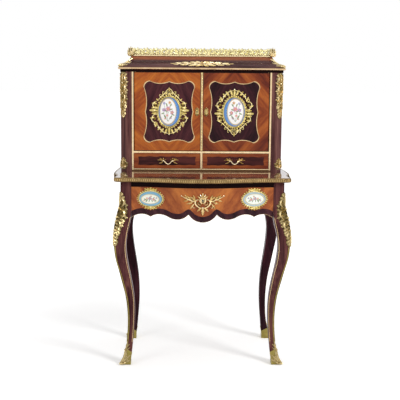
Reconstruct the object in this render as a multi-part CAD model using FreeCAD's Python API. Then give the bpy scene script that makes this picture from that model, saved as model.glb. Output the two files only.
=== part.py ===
import FreeCAD, Part
import math
import os

V = FreeCAD.Vector
along_x = V(1, 0, 0)
along_y = V(0, 1, 0)
along_z = V(0, 0, 1)

# Table: sizes in millimetres, the front faces -Y, the floor is z = 0
overall_depth = 482.0
table_height = 775.0
top_thickness = 18.0
swell_half_width = 354.0
corner_draw_in = 9.0
waist_draw_in = 14.0
back_draw_in = 13.0
bow_depth = 43.0
bow_end = 45.0
corner_radius = 12.0
waist_from_corner = 68.0
swell_from_corner = 165.0
edge_projection = 7.0
edge_rounding = 6.0

# Legs and their gilt shoes
leg_block = 42.0
leg_block_height = 82.0
leg_overhang = 19.0
leg_front_overhang = 14.0
back_leg_inset = 21.0
back_leg_overhang = 27.0
leg_foot_lift = 14.0
sabot_height = 84.0
sabot_inner_height = 38.0
sabot_wall = 2.5
toe_swell = 4.0

# Knee mounts
mount_thickness = 5.0
knee_mount_top_drop = 42.0
knee_mount_widest_drop = 126.0
knee_mount_foot_drop = 254.0
knee_mount_half_width = 27.0
knee_mount_head = 9.0
knee_mount_tip = 3.0

# Frieze frame and drawer
top_rail_height = 20.0
top_rail_setback = 3.0
rail_thickness = 18.0
rail_setback = 22.0
rail_end_depth = 140.0
rail_arch_depth = 110.0
rail_middle_depth = 124.0
back_rail_depth = 120.0
slide_gap = 0.8
side_gap = 1.0
front_thickness = 20.0
box_board = 9.0
box_bottom = 6.0
box_inset = 12.0
box_back_gap = 38.0
box_height = 78.0
box_top_gap = 6.0
runner_width = 42.0
runner_thickness = 12.0
guide_height = 32.0
guide_gap = 0.5
groove_depth = 4.0
groove_lift = 6.0

# Scalloped lower edge of the drawer front, below its top edge
apron_end_drop = 124.0
apron_arch_drop = 108.5
apron_cusp_drop = 119.0
apron_rise_drop = 107.5
apron_dip_drop = 126.0
apron_notch_drop = 105.0
apron_lobe_drop = 136.0
apron_arch_in = 47.0
apron_cusp_in = 77.0
apron_rise_in = 111.0
apron_dip_x = 101.0
apron_notch_x = 56.0

# Cabinet
cabinet_side_inset = 3.0
cabinet_setback = 232.0
cabinet_back_inset = 7.0
post_width = 54.0
post_depth = 43.0
post_cant = 24.0
post_upper_gap = 2.0
post_upper_widest = 42.0
post_upper_length = 188.0
post_upper_head = 15.0
post_upper_half_width = 23.0
post_upper_tip = 4.0
post_lower_gap = 8.0
post_lower_widest = 24.0
post_lower_top = 56.0
post_lower_head = 5.0
post_lower_half_width = 22.0
post_lower_foot = 24.0
panel_thickness = 18.0
back_thickness = 8.0
floor_thickness = 10.0
small_drawer_opening = 66.0
divider_thickness = 8.0
door_opening_height = 328.0
ceiling_thickness = 10.0
partition_thickness = 8.0
shelf_thickness = 10.0
shelf_lift = 165.0
bearer_section = 12.0
filet_width = 6.6
filet_thickness = 1.6
filet_edge = 0.5
base_filet_width = 4.4
filet_seat_gap = 0.1

# Doors
door_recess = 2.0
door_thickness = 18.0
door_side_gap = 0.6
door_end_gap = 1.0
meeting_gap = 0.6
pivot_inset = 7.0
pivot_radius = 2.5
pivot_clearance = 0.05
pivot_reach = 6.0
pivot_root = 10.0
pivot_plate_length = 34.0
pivot_plate_width = 12.0
pivot_plate_thickness = 2.0
socket_floor_gap = 0.4

# Cornice, hood and gallery
cornice_projection = 2.0
cornice_thickness = 8.0
cornice_moulding = 7.0
cornice_rounding = 5.0
hood_height = 46.0
hood_lip_height = 15.0
hood_lip_draw_in = 9.0
hood_lip_crown = 0.65
hood_lip_share = 0.25
hood_neck = 4.0
hood_foot_inset = 4.0
hood_draw_in = 48.0
hood_hollow = 0.38
hood_hollow_height = 0.34
hood_wall = 14.0
hood_cavity_depth = 30.0
hood_mount_height = 19.3
hood_mount_relief = 3.0
hood_boss_half_width = 14.0
hood_boss_half_height = 12.0
hood_corner_relief = 2.5
hood_corner_head = 12.0
hood_corner_half_width = 26.0
hood_corner_tip = 14.0
hood_corner_gap = 4.0
hood_corner_widest = 20.7
gallery_height = 32.0
gallery_thickness = 2.5
gallery_inset = 2.0
gallery_rail = 4.5
gallery_pitch = 31.0
gallery_opening = 21.0
gallery_finial_height = 38.0
gallery_finial_half_width = 16.0

# Door ornament
ornament_inset = 8.0
cartouche_side_margin = 33.0
cartouche_end_margin = 34.5
cartouche_ear = 26.0
cartouche_waist = 11.0
cartouche_cusp = 6.0
cartouche_dip = 10.0
cartouche_peak = 2.0
cartouche_filet = 3.0
cartouche_relief = 1.2
plaque_width_share = 0.405
plaque_height_share = 0.479
frame_width_share = 0.79
door_plaque_thickness = 4.0
plaque_rounding = 2.5
oval_fullness = 0.714
door_frame_border = 22.0
door_frame_relief = 9.0
door_frame_lobes = 20
frame_lobe_swell = 7.0
plaque_seat_gap = 0.1
crest_length = 30.0
shell_length = 28.0
side_leaf_spread = 24.0
escutcheon_x = 19.0
escutcheon_half_width = 8.0
escutcheon_half_height = 15.5
escutcheon_thickness = 2.5
keyhole_radius = 2.6
keyhole_slot = 2.6
keyhole_drop = 9.0

# Frieze ornament
frieze_plaque_in = 77.0
frieze_plaque_drop = 46.0
frieze_plaque_half_width = 46.0
frieze_plaque_half_height = 29.5
frieze_plaque_relief = 3.5
frieze_frame_border = 9.0
frieze_frame_relief = 7.0
frieze_frame_lobes = 22
frieze_crest_length = 13.0
frieze_key_drop = 48.0
frieze_mount_relief = 5.0
frieze_boss_lift = 3.0
frieze_boss_half_width = 15.0
frieze_boss_half_height = 20.0

# Locks
lock_half_width = 32.0
lock_height = 52.0
lock_depth = 14.0
lock_top_gap = 4.0
lock_inset = 4.0
bolt_half_width = 10.0
bolt_thickness = 6.0
bolt_length = 22.0
bolt_clearance = 0.3
bolt_throw = 8.0
bolt_rest_gap = 0.6
door_lock_width = 56.0
door_lock_height = 70.0
door_lock_depth = 14.0
door_lock_edge = 6.0
door_bolt_throw = 14.0
door_bolt_half_height = 10.0
door_bolt_thickness = 8.0
door_bolt_length = 38.0

# Small drawers and pulls
small_front_thickness = 16.0
small_board = 5.0
small_bottom = 4.0
small_box_inset = 1.0
small_back_gap = 20.0
small_box_drop = 10.0
small_groove = 3.0
small_groove_lift = 3.0
small_guide_height = 20.0
small_guide_gap = 0.6
pull_inset = 4.0
pull_half_span = 22.0
pull_stand_off = 14.0
pull_dip = 12.0
pull_rod_radius = 2.6
pull_post_radius = 3.4
pull_leaf_length = 26.0
pull_leaf_half_width = 7.0
pull_plate = 2.5

# Heights and planes that several pieces share
y_back = overall_depth / 2
y_corner = -overall_depth / 2 + edge_projection + bow_depth
corner_half_width = swell_half_width - corner_draw_in
waist_half_width = swell_half_width - waist_draw_in
back_half_width = swell_half_width - back_draw_in
z_top_under = table_height - top_thickness
z_block = z_top_under - leg_block_height
leg_x = corner_half_width - leg_overhang - leg_block
leg_y = y_corner + leg_front_overhang + leg_block
back_leg_x = back_half_width - back_leg_inset - leg_block
back_leg_y = y_back - back_leg_overhang - leg_block
z_drawer_top = z_top_under - top_rail_height - slide_gap
z_box_top = z_drawer_top - box_top_gap
z_runner = z_box_top - box_height
front_half = leg_x - side_gap
bow_half_length = corner_half_width - bow_end
box_half_width = front_half - box_inset
frieze_plaque_x = front_half - frieze_plaque_in

cabinet_half_width = back_half_width - cabinet_side_inset
y_cabinet = y_corner - edge_projection + cabinet_setback
y_cabinet_back = y_back - cabinet_back_inset
x_opening = cabinet_half_width - post_width
x_side_inner = cabinet_half_width - panel_thickness
y_post_back = y_cabinet + post_depth
y_panel_back = y_cabinet_back - back_thickness
z_floor = table_height + floor_thickness
z_divider = z_floor + small_drawer_opening
z_door_foot = z_divider + divider_thickness
z_ceiling = z_door_foot + door_opening_height
z_cornice = z_ceiling + ceiling_thickness
z_hood = z_cornice + cornice_thickness
z_gallery = z_hood + hood_height
y_door = y_cabinet + door_recess
z_door_low = z_door_foot + door_end_gap
z_door_high = z_ceiling - door_end_gap
x_door_outer = x_opening - door_side_gap
x_meeting = partition_thickness / 2
z_ornament = (z_door_low + z_door_high) / 2
ornament_x = (x_meeting + x_door_outer) / 2 - ornament_inset
pull_x = (x_meeting + x_door_outer) / 2 - pull_inset
cartouche_half_width = (x_door_outer - x_meeting) / 2 - cartouche_side_margin
cartouche_half_height = (z_door_high - z_door_low) / 2 - cartouche_end_margin
door_plaque_half_width = plaque_width_share * cartouche_half_width
door_plaque_half_height = plaque_height_share * cartouche_half_height
frame_half_width = frame_width_share * cartouche_half_width
x_pivot = x_door_outer - pivot_inset
y_pivot = y_door + pivot_inset
cornice_half = cabinet_half_width + cornice_projection
y_cornice = y_cabinet - cornice_projection

# Cabriole leg: share of the height under the block, then where its inner and outer faces stand,
# measured outwards from the inner faces of the block
leg_stations = (
    (0.000, 6.5, 40.0),
    (0.074, -1.5, 25.5),
    (0.125, -4.5, 20.0),
    (0.192, -8.5, 16.5),
    (0.269, -11.5, 15.5),
    (0.348, -11.5, 18.5),
    (0.426, -8.0, 25.5),
    (0.505, -0.5, 37.5),
    (0.585, 9.0, 49.5),
    (0.665, 17.0, 61.5),
    (0.735, 20.0, 66.5),
    (0.789, 17.0, 67.0),
    (0.838, 9.5, 63.5),
    (0.885, 3.0, 58.0),
    (0.923, 0.0, 52.0),
    (0.962, 0.0, 45.5),
    (1.000, 0.0, 42.0),
)

# Leaves of the flat gilt mounts, from their centre: root, tip and half width
frieze_mount_leaves = (
    (0, 14, 0, 31, 8),
    (6, 12, 24, 27, 6),
    (8, -12, 44, -22, 9),
    (30, -20, 62, 6, 8),
    (52, -8, 88, 17, 7),
    (56, 0, 76, 29, 5),
    (40, -20, 66, -28, 5),
    (4, -14, 28, -42, 7),
    (0, -16, 0, -58, 9),
)
hood_mount_leaves = (
    (4, 0, 52, 4, 7),
    (30, 2, 84, -2, 6),
    (66, -2, 112, 3, 5),
    (100, 2, 131, 0, 4),
)


def block(x0, x1, y0, y1, z0, z1):
    return Part.makeBox(x1 - x0, y1 - y0, z1 - z0, V(x0, y0, z0))


def mirrored(shape):
    return shape.mirror(V(0, 0, 0), along_x)


def line(a, b):
    return Part.LineSegment(a, b).toShape()


def arc(a, b, c):
    return Part.Arc(a, b, c).toShape()


def face(edges):
    return Part.Face(Part.Wire(Part.__sortEdges__(edges)))


def prism(edges, direction):
    return face(edges).extrude(direction)


def loop(points):
    return [line(a, b) for a, b in zip(points, points[1:] + points[:1])]


def level_arc(start, end, along):
    # An arc that leaves its start parallel to the given direction
    run = (end - start).dot(along)
    rise = (end - start) - along * run
    turn = 2 * math.atan2(rise.Length, abs(run))
    radius = abs(run) / math.sin(turn)
    ahead = along * math.copysign(1, run)
    across = V(rise).normalize()
    middle = start + ahead * (radius * math.sin(turn / 2)) + across * (radius * (1 - math.cos(turn / 2)))
    return arc(start, middle, end)


def bend(start, end, along):
    # Two equal tangent arcs that leave and arrive parallel to the given direction
    middle = (start + end) * 0.5
    return [level_arc(start, middle, along), level_arc(end, middle, along)]


def reflected(edges):
    return [mirrored(edge) for edge in edges]


def oval(centre, half_width, half_height):
    # An oval of four tangent arcs, drawn upright or lying
    upright = half_height > half_width
    a = max(half_width, half_height)
    b = min(half_width, half_height)
    r = b * (b / a) ** oval_fullness
    big = ((a - r) ** 2 + b * b - r * r) / (2 * (b - r))
    turn = math.atan2(big - b, a - r)

    def at(u, v):
        return centre + (V(v, 0, u) if upright else V(u, 0, v))

    u = a - r + r * math.cos(turn)
    v = r * math.sin(turn)
    return [
        arc(at(u, -v), at(a, 0), at(u, v)),
        arc(at(u, v), at(0, b), at(-u, v)),
        arc(at(-u, v), at(-a, 0), at(-u, -v)),
        arc(at(-u, -v), at(0, -b), at(u, -v)),
    ]


def leaf(start, end, half_width, depth):
    # A pointed leaf seen from the front, as deep as given
    way = end - start
    side = V(-way.z, 0, way.x).normalize() * half_width
    middle = (start + end) * 0.5
    return prism([arc(start, middle + side, end), arc(end, middle - side, start)], along_y * depth)


def lobed(centre, half_width, half_height, lobes, swell):
    # A closed outline of equal lobes round an oval
    edges = []
    for index in range(lobes):
        points = []
        for step, reach in ((0, 0), (0.5, swell), (1, 0)):
            angle = 2 * math.pi * (index + step) / lobes
            across = (half_width + reach) * math.cos(angle)
            up = (half_height + reach) * math.sin(angle)
            points.append(centre + V(across, 0, up))
        edges.append(arc(*points))
    return edges


def join(shapes):
    whole = shapes[0]
    if len(shapes) > 1:
        whole = whole.multiFuse(shapes[1:])
    return whole.removeSplitter()


def save(name, *solids):
    shape = solids[0] if len(solids) == 1 else Part.makeCompound(list(solids))
    shape.exportStep("parts/" + name + ".step")


# Plan curves of the table
def front_curve(setback, z):
    y = y_corner + setback
    left = V(-bow_half_length, y, z)
    middle = V(0, y - bow_depth, z)
    right = V(bow_half_length, y, z)
    return bend(left, middle, along_x) + bend(middle, right, along_x)


def side_curve(setback, z, start_y):
    waist = V(waist_half_width - setback, y_corner + waist_from_corner, z)
    swell = V(swell_half_width - setback, y_corner + swell_from_corner, z)
    back = V(back_half_width - setback, y_back, z)
    corner = V(corner_half_width - setback, start_y, z)
    return bend(corner, waist, along_y) + bend(waist, swell, along_y) + bend(swell, back, along_y)


def top_outline(grow, z):
    x = corner_half_width + grow
    y = y_corner - grow
    radius = corner_radius + grow
    chord = radius * (1 - math.sqrt(0.5))
    ear = V(bow_half_length, y, z)
    turn_start = V(x - radius, y, z)
    turn_end = V(x, y + radius, z)
    turn = arc(turn_start, V(x - chord, y + chord, z), turn_end)
    half = [line(ear, turn_start), turn] + side_curve(-grow, z, y + radius)
    back = V(back_half_width + grow, y_back, z)
    back_edge = line(back, V(-back.x, back.y, back.z))
    return front_curve(-grow, z) + half + reflected(half) + [back_edge]


def front_band(setback, thickness, z0, z1):
    # A bowed board: its two faces follow the front of the table top
    y = y_corner + setback
    ends = []
    for x in (-bow_half_length, bow_half_length):
        ends.append(line(V(x, y, z0), V(x, y + thickness, z0)))
    edges = front_curve(setback, z0) + front_curve(setback + thickness, z0) + ends
    return prism(edges, along_z * (z1 - z0))


def table_top():
    return prism(top_outline(0, z_top_under), along_z * top_thickness)


def table_edge_moulding():
    solid = prism(top_outline(edge_projection, z_top_under), along_z * top_thickness)
    rim = []
    for edge in solid.Edges:
        flat = abs(edge.BoundBox.ZMax - edge.BoundBox.ZMin) < 0.001
        if flat and edge.BoundBox.YMin < y_back - 0.001:
            rim.append(edge)
    solid = solid.makeFillet(edge_rounding, rim)
    return solid.cut(table_top())


# Legs, drawn for the right-hand side and mirrored
def leg_height(share):
    return leg_foot_lift + share * (z_block - leg_foot_lift)


def leg_levels(grow):
    return [(leg_height(share), inner - grow, outer + grow) for share, inner, outer in leg_stations]


def smooth(points):
    curve = Part.BSplineCurve()
    curve.interpolate(points)
    return curve.toShape()


def sawn(corner, outward, levels, z_head):
    # A leg sawn to one outline from the front and again from the side
    reach = 4 * leg_block
    views = []
    for across, through in ((along_x, along_y), (along_y * outward, along_x)):
        start = corner - through * reach
        inner = [start + across * near + along_z * z for z, near, far in levels]
        outer = [start + across * far + along_z * z for z, near, far in levels]
        edges = [smooth(inner), smooth(outer), line(inner[0], outer[0])]
        if z_head > levels[-1][0]:
            heads = [V(p.x, p.y, z_head) for p in (inner[-1], outer[-1])]
            edges += [line(inner[-1], heads[0]), line(heads[0], heads[1]), line(heads[1], outer[-1])]
        else:
            edges.append(line(inner[-1], outer[-1]))
        views.append(prism(edges, through * 2 * reach))
    return views[0].common(views[1])


def leg(corner, outward, grow):
    return sawn(corner, outward, leg_levels(grow), z_top_under)


def sabot(corner, outward, wood):
    levels = leg_levels(sabot_wall)
    inner, outer = levels[0][1], levels[0][2]
    sole = [(0, inner, outer - toe_swell), (leg_foot_lift / 2, inner, outer + toe_swell)]
    shoe = sawn(corner, outward, sole + levels, levels[-1][0])
    return shoe.common(sabot_space(corner, outward, inner, outer)).cut(wood)


def sabot_space(corner, outward, inner, outer):
    # The room of a shoe: its top slopes up to a point on the outward corner of the foot
    out = V(1, outward, 0)
    across = V(-outward, 1, 0) * leg_block
    reach = 2 * leg_block
    slope = (sabot_height - sabot_inner_height) / (outer - inner)
    far = corner + out * (outer + reach) - across * 2
    z_far = sabot_height + slope * reach
    turn = corner + out * (inner - sabot_inner_height / slope) - across * 2
    points = [V(turn.x, turn.y, 0), V(far.x, far.y, 0), V(far.x, far.y, z_far)]
    return prism(loop(points), across * 4)


def corner_prism(base, outline, reach):
    # A prism that looks at a right-hand front corner along its diagonal
    across = V(1, 1, 0).normalize()
    edges = []
    for kind, points in outline:
        placed = [base + across * t + along_z * z for t, z in points]
        edges += bend(placed[0], placed[1], along_z) if kind == "bend" else [line(placed[0], placed[1])]
    return prism(edges, V(1, -1, 0).normalize() * reach)


def drop_outline(head, half_width, tip, z_head, z_wide, z_foot):
    # A leafy drop: a narrow head, a full middle and a long tip
    outline = []
    for side in (1, -1):
        outline.append(("bend", ((side * head, z_head), (side * half_width, z_wide))))
        outline.append(("bend", ((side * half_width, z_wide), (side * tip, z_foot))))
    outline.append(("line", ((head, z_head), (-head, z_head))))
    outline.append(("line", ((tip, z_foot), (-tip, z_foot))))
    return outline


def knee_mount(wood, grown):
    outline = drop_outline(knee_mount_head, knee_mount_half_width, knee_mount_tip,
                           z_top_under - knee_mount_top_drop, z_top_under - knee_mount_widest_drop,
                           z_top_under - knee_mount_foot_drop)
    base = V(leg_x + leg_block / 2, leg_y - leg_block / 2, 0)
    return corner_prism(base, outline, 3 * leg_block).common(grown).cut(wood)


# Frame under the top
def side_rail(front_leg, back_leg):
    x0 = leg_x - leg_block
    x1 = swell_half_width
    curve = side_curve(rail_setback, 0, y_corner)
    inner = side_curve(rail_setback + rail_thickness, 0, y_corner)
    ends = []
    for y, half_width in ((y_corner, corner_half_width), (y_back, back_half_width)):
        x = half_width - rail_setback
        ends.append(line(V(x, y, 0), V(x - rail_thickness, y, 0)))
    band = prism(curve + inner + ends, along_z * table_height)
    y0 = leg_y
    y1 = back_leg_y
    middle = (y0 + y1) / 2
    quarter = (y1 - y0) / 4
    points = []
    for y, depth in ((y0, rail_end_depth), (middle - quarter, rail_arch_depth), (middle, rail_middle_depth),
                     (middle + quarter, rail_arch_depth), (y1, rail_end_depth)):
        points.append(V(x0, y, z_top_under - depth))
    edges = []
    for a, b in zip(points, points[1:]):
        edges += bend(a, b, along_y)
    head = [V(x0, y0, z_top_under), V(x0, y1, z_top_under)]
    edges += [line(points[0], head[0]), line(head[0], head[1]), line(head[1], points[-1])]
    shaped = prism(edges, along_x * (x1 - x0))
    return band.common(shaped).cut(front_leg).cut(back_leg)


def back_rail(back_leg):
    y = back_leg_y + leg_block
    board = block(-back_leg_x, back_leg_x, y - rail_thickness, y, z_top_under - back_rail_depth, z_top_under)
    return board.cut(back_leg).cut(mirrored(back_leg))


def top_rail(mortise):
    z0 = z_top_under - top_rail_height
    board = block(-leg_x, leg_x, -overall_depth, leg_y, z0, z_top_under)
    inside = top_outline(0, z0)
    region = prism(inside, along_z * top_rail_height)
    region.translate(along_y * (leg_front_overhang + top_rail_setback))
    return board.common(region).cut(mortise)


def drawer_runner(*neighbours):
    inner = leg_x + rail_thickness - runner_width
    base = block(inner, inner + runner_width, leg_y, back_leg_y, z_runner - runner_thickness, z_runner)
    guide = block(box_half_width + guide_gap, leg_x, leg_y, back_leg_y, z_runner, z_runner + guide_height)
    whole = base.fuse(guide).removeSplitter()
    for neighbour in neighbours:
        whole = whole.cut(neighbour)
    return whole


# Frieze drawer
def apron_outline(y):
    def at(x, drop):
        return V(x, y, z_drawer_top - drop)
    end = at(front_half, apron_end_drop)
    cusp = at(front_half - apron_cusp_in, apron_cusp_drop)
    rise = at(front_half - apron_rise_in, apron_rise_drop)
    dip = at(apron_dip_x, apron_dip_drop)
    notch = at(apron_notch_x, apron_notch_drop)
    half = [
        line(at(front_half, 0), end),
        arc(end, at(front_half - apron_arch_in, apron_arch_drop), cusp),
        level_arc(rise, cusp, along_x),
        *bend(rise, dip, along_x),
        level_arc(dip, notch, along_x),
    ]
    lobe = arc(notch, at(0, apron_lobe_drop), at(-apron_notch_x, apron_notch_drop))
    head = line(at(front_half, 0), at(-front_half, 0))
    return half + [lobe, head] + reflected(half)


def keyhole(x, z, y0, depth):
    hole = Part.makeCylinder(keyhole_radius, depth, V(x, y0, z), along_y)
    slot = block(x - keyhole_slot / 2, x + keyhole_slot / 2, y0, y0 + depth, z - keyhole_drop, z)
    return hole.fuse(slot)


def frieze_front():
    deep = overall_depth
    view = prism(apron_outline(-deep), along_y * 2 * deep)
    low = z_drawer_top - apron_lobe_drop - 1
    band = front_band(leg_front_overhang, front_thickness, low, z_drawer_top)
    return band.common(view)


def frieze_region(z0, z1):
    # The space behind the drawer front
    setback = leg_front_overhang + front_thickness
    return front_band(setback, overall_depth, z0, z1)


def frieze_box():
    z0 = z_runner
    z1 = z_box_top
    y0 = y_corner - bow_depth
    y1 = back_leg_y + leg_block - rail_thickness - box_back_gap
    inner = box_half_width - box_board
    region = frieze_region(z0, z1)
    floor_z = z0 + groove_lift
    bottom = block(-inner - groove_depth, inner + groove_depth, y0, y1, floor_z, floor_z + box_bottom)
    bottom = bottom.common(region)
    side = block(inner, box_half_width, y0, y1, z0, z1).common(region).cut(bottom)
    back = block(-inner, inner, y1 - box_board, y1, floor_z + box_bottom, z1)
    return [mirrored(side), side, back, bottom]


def frieze_lock_case():
    y = y_corner + leg_front_overhang - bow_depth + front_thickness
    z1 = z_drawer_top - lock_top_gap
    return block(-lock_half_width, lock_half_width, y - lock_inset, y - lock_inset + lock_depth, z1 - lock_height, z1)


def frieze_bolt():
    case = frieze_lock_case().BoundBox
    y = (case.YMin + case.YMax) / 2
    z1 = case.ZMax - bolt_rest_gap
    return block(-bolt_half_width, bolt_half_width, y - bolt_thickness / 2, y + bolt_thickness / 2,
                 z1 - bolt_length, z1)


def grown_block(shape, grow, z_low, z_high):
    box = shape.BoundBox
    return block(box.XMin - grow, box.XMax + grow, box.YMin - grow, box.YMax + grow,
                 box.ZMin - z_low, box.ZMax + z_high)


def on_frieze(outline_solids, relief):
    # Keeps only a layer of the given relief in front of the bowed drawer front
    z0 = z_drawer_top - apron_lobe_drop
    band = front_band(leg_front_overhang - relief, relief, z0, z_drawer_top)
    return join([solid.common(band) for solid in outline_solids])


def frieze_plaque(x):
    centre = V(x, -overall_depth, z_drawer_top - frieze_plaque_drop)
    shape = prism(oval(centre, frieze_plaque_half_width, frieze_plaque_half_height), along_y * overall_depth)
    return on_frieze([shape], frieze_plaque_relief)


def frieze_plaque_frame(x):
    centre = V(x, -overall_depth, z_drawer_top - frieze_plaque_drop)
    width = frieze_plaque_half_width + frieze_frame_border - frame_lobe_swell / 2
    height = frieze_plaque_half_height + frieze_frame_border - frame_lobe_swell / 2
    depth = along_y * overall_depth
    ring = prism(lobed(centre, width, height, frieze_frame_lobes, frame_lobe_swell / 2), depth)
    leaves = [ring]
    for side in (1, -1):
        start = centre + along_z * side * frieze_plaque_half_height
        for lean in (-1, 0, 1):
            reach = V(lean * frieze_crest_length, 0, side * (frieze_crest_length + frieze_frame_border))
            leaves.append(leaf(start, start + reach, frieze_crest_length / 3, overall_depth))
    whole = on_frieze(leaves, frieze_frame_relief)
    opening = prism(oval(centre, frieze_plaque_half_width, frieze_plaque_half_height), depth)
    return whole.cut(opening)


def frieze_escutcheon():
    key = V(0, -overall_depth, z_drawer_top - frieze_key_drop)
    depth = overall_depth
    boss = key + along_z * frieze_boss_lift
    solids = [prism(oval(boss, frieze_boss_half_width, frieze_boss_half_height), along_y * depth)]
    for x0, z0, x1, z1, half in frieze_mount_leaves:
        for side in (1, -1):
            if side > 0 or x1 > 0:
                start = key + V(side * x0, 0, z0)
                solids.append(leaf(start, key + V(side * x1, 0, z1), half, depth))
    mount = on_frieze(solids, frieze_mount_relief)
    return mount.cut(keyhole(0, key.z, -overall_depth, depth))


# Cabinet carcase
def inner_board(z0, thickness):
    # A board inside the carcase, notched round the corner posts
    wide = block(-x_side_inner, x_side_inner, y_post_back, y_panel_back, z0, z0 + thickness)
    narrow = block(-x_opening, x_opening, y_cabinet, y_post_back, z0, z0 + thickness)
    return wide.fuse(narrow).removeSplitter()


def post_outline(grow):
    lean = grow * (math.sqrt(2) - 1)
    x0 = x_opening
    x1 = cabinet_half_width
    return [
        V(x0, y_cabinet - grow, table_height),
        V(x1 - post_cant + lean, y_cabinet - grow, table_height),
        V(x1 + grow, y_cabinet + post_cant - lean, table_height),
        V(x1 + grow, y_post_back, table_height),
        V(x0, y_post_back, table_height),
    ]


def corner_post(grow):
    return prism(loop(post_outline(grow)), along_z * (z_ceiling - table_height))


def cabinet_side():
    return block(x_side_inner, cabinet_half_width, y_post_back, y_cabinet_back, table_height, z_ceiling)


def cabinet_back():
    return block(-x_side_inner, x_side_inner, y_panel_back, y_cabinet_back, table_height, z_ceiling)


def partition():
    half = partition_thickness / 2
    return block(-half, half, y_cabinet, y_panel_back, z_floor, z_divider)


def small_guide():
    x0 = x_door_outer - small_box_inset + small_guide_gap
    return block(x0, x_side_inner, y_post_back, y_panel_back, z_floor, z_floor + small_guide_height)


def shelf_bearer():
    z1 = z_door_foot + shelf_lift
    return block(x_side_inner - bearer_section, x_side_inner, y_post_back, y_panel_back, z1 - bearer_section, z1)


def shelf():
    z0 = z_door_foot + shelf_lift
    return block(-x_side_inner + guide_gap, x_side_inner - guide_gap, y_post_back, y_panel_back - guide_gap,
                 z0, z0 + shelf_thickness)


def post_mount(head, half_width, tip, z_head, z_wide, z_foot):
    base = V(cabinet_half_width - post_cant / 2, y_cabinet + post_cant / 2, 0) - V(1, -1, 0) * post_cant
    outline = drop_outline(head, half_width, tip, z_head, z_wide, z_foot)
    layer = corner_post(mount_thickness).cut(corner_post(0))
    return corner_prism(base, outline, 4 * post_cant).common(layer)


def cabinet_filets():
    y0 = y_cabinet - filet_thickness
    half = partition_thickness / 2
    upright = block(x_opening, x_opening + filet_width, y0, y_cabinet, table_height, z_ceiling)
    inner = x_opening - filet_seat_gap
    strips = [mirrored(upright), upright]
    z_base = table_height + filet_edge
    for z0, z1 in ((z_base, z_base + base_filet_width), (z_divider + filet_edge, z_door_foot - filet_edge)):
        strips.append(block(-inner, inner, y0, y_cabinet, z0, z1))
    strips.append(block(-half, half, y0, y_cabinet, z_floor, z_divider))
    return strips


# Pivot hinges, drawn for the right-hand door
def pivot_plate(z0, z1):
    # A plate with its end rounded about the pin
    half = pivot_plate_width / 2
    x0 = x_pivot - pivot_plate_length
    near = V(x_pivot, y_pivot - half, z0)
    far = V(x_pivot, y_pivot + half, z0)
    root = [V(x0, far.y, z0), V(x0, near.y, z0)]
    edges = [line(far, root[0]), line(root[0], root[1]), line(root[1], near)]
    edges.append(arc(near, V(x_pivot + half, y_pivot, z0), far))
    return prism(edges, along_z * (z1 - z0))


def door_pivots():
    pins = []
    for z_end, z_far, plate_low in (
        (z_door_low + pivot_root, z_door_foot - pivot_reach, z_door_low),
        (z_door_high - pivot_root, z_ceiling + pivot_reach, z_door_high - pivot_plate_thickness),
    ):
        low = min(z_end, z_far)
        pin = Part.makeCylinder(pivot_radius, abs(z_far - z_end), V(x_pivot, y_pivot, low))
        plate = pivot_plate(plate_low, plate_low + pivot_plate_thickness)
        pins.append(pin.fuse(plate).removeSplitter())
    return pins


def socket_holes():
    radius = pivot_radius + pivot_clearance
    reach = pivot_reach + socket_floor_gap
    foot = Part.makeCylinder(radius, reach, V(x_pivot, y_pivot, z_door_foot - reach))
    head = Part.makeCylinder(radius, reach, V(x_pivot, y_pivot, z_ceiling))
    return foot, head


def pivot_sockets():
    foot_hole, head_hole = socket_holes()
    foot = pivot_plate(z_door_foot - pivot_plate_thickness, z_door_foot).cut(foot_hole)
    head = pivot_plate(z_ceiling, z_ceiling + pivot_plate_thickness).cut(head_hole)
    return foot, head


# Doors
def door_panel(x_edge):
    # Right-hand door, from its meeting edge to a hanging edge rounded about the pivot
    x1 = x_door_outer
    c = pivot_inset * (1 - math.sqrt(0.5))
    z = z_door_low
    back = y_door + door_thickness
    edges = [
        line(V(x_edge, y_door, z), V(x1 - pivot_inset, y_door, z)),
        arc(V(x1 - pivot_inset, y_door, z), V(x1 - c, y_door + c, z), V(x1, y_door + pivot_inset, z)),
        line(V(x1, y_door + pivot_inset, z), V(x1, back, z)),
        line(V(x1, back, z), V(x_edge, back, z)),
        line(V(x_edge, back, z), V(x_edge, y_door, z)),
    ]
    return prism(edges, along_z * (z_door_high - z_door_low))


def cartouche_outline(y, inset):
    hw = cartouche_half_width - inset
    hh = cartouche_half_height - inset
    ear = cartouche_ear
    bulge = ear * (1 - math.sqrt(0.5))
    quarter = []
    quarter.append(((hw - cartouche_cusp, 0), (hw - cartouche_waist, (hh - ear) * 0.5), (hw, hh - ear)))
    quarter.append(((hw, hh - ear), (hw - bulge, hh - bulge), (hw - ear, hh)))
    quarter.append(((hw - ear, hh), (hw * 0.4, hh - cartouche_dip), (0, hh - cartouche_peak)))
    edges = []
    for sx in (1, -1):
        for sz in (1, -1):
            for points in quarter:
                edges.append(arc(*[V(ornament_x + sx * x, y, z_ornament + sz * z) for x, z in points]))
    return edges


def door_filet():
    y = y_door - cartouche_relief
    depth = along_y * cartouche_relief
    return prism(cartouche_outline(y, 0), depth).cut(prism(cartouche_outline(y, cartouche_filet), depth))


def door_plaque():
    centre = V(ornament_x, y_door, z_ornament)
    plate = prism(oval(centre, door_plaque_half_width, door_plaque_half_height), along_y * -door_plaque_thickness)
    rim = [edge for edge in plate.Edges if edge.BoundBox.YMax < y_door - door_plaque_thickness / 2]
    return plate.makeFillet(plaque_rounding, rim)


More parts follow.
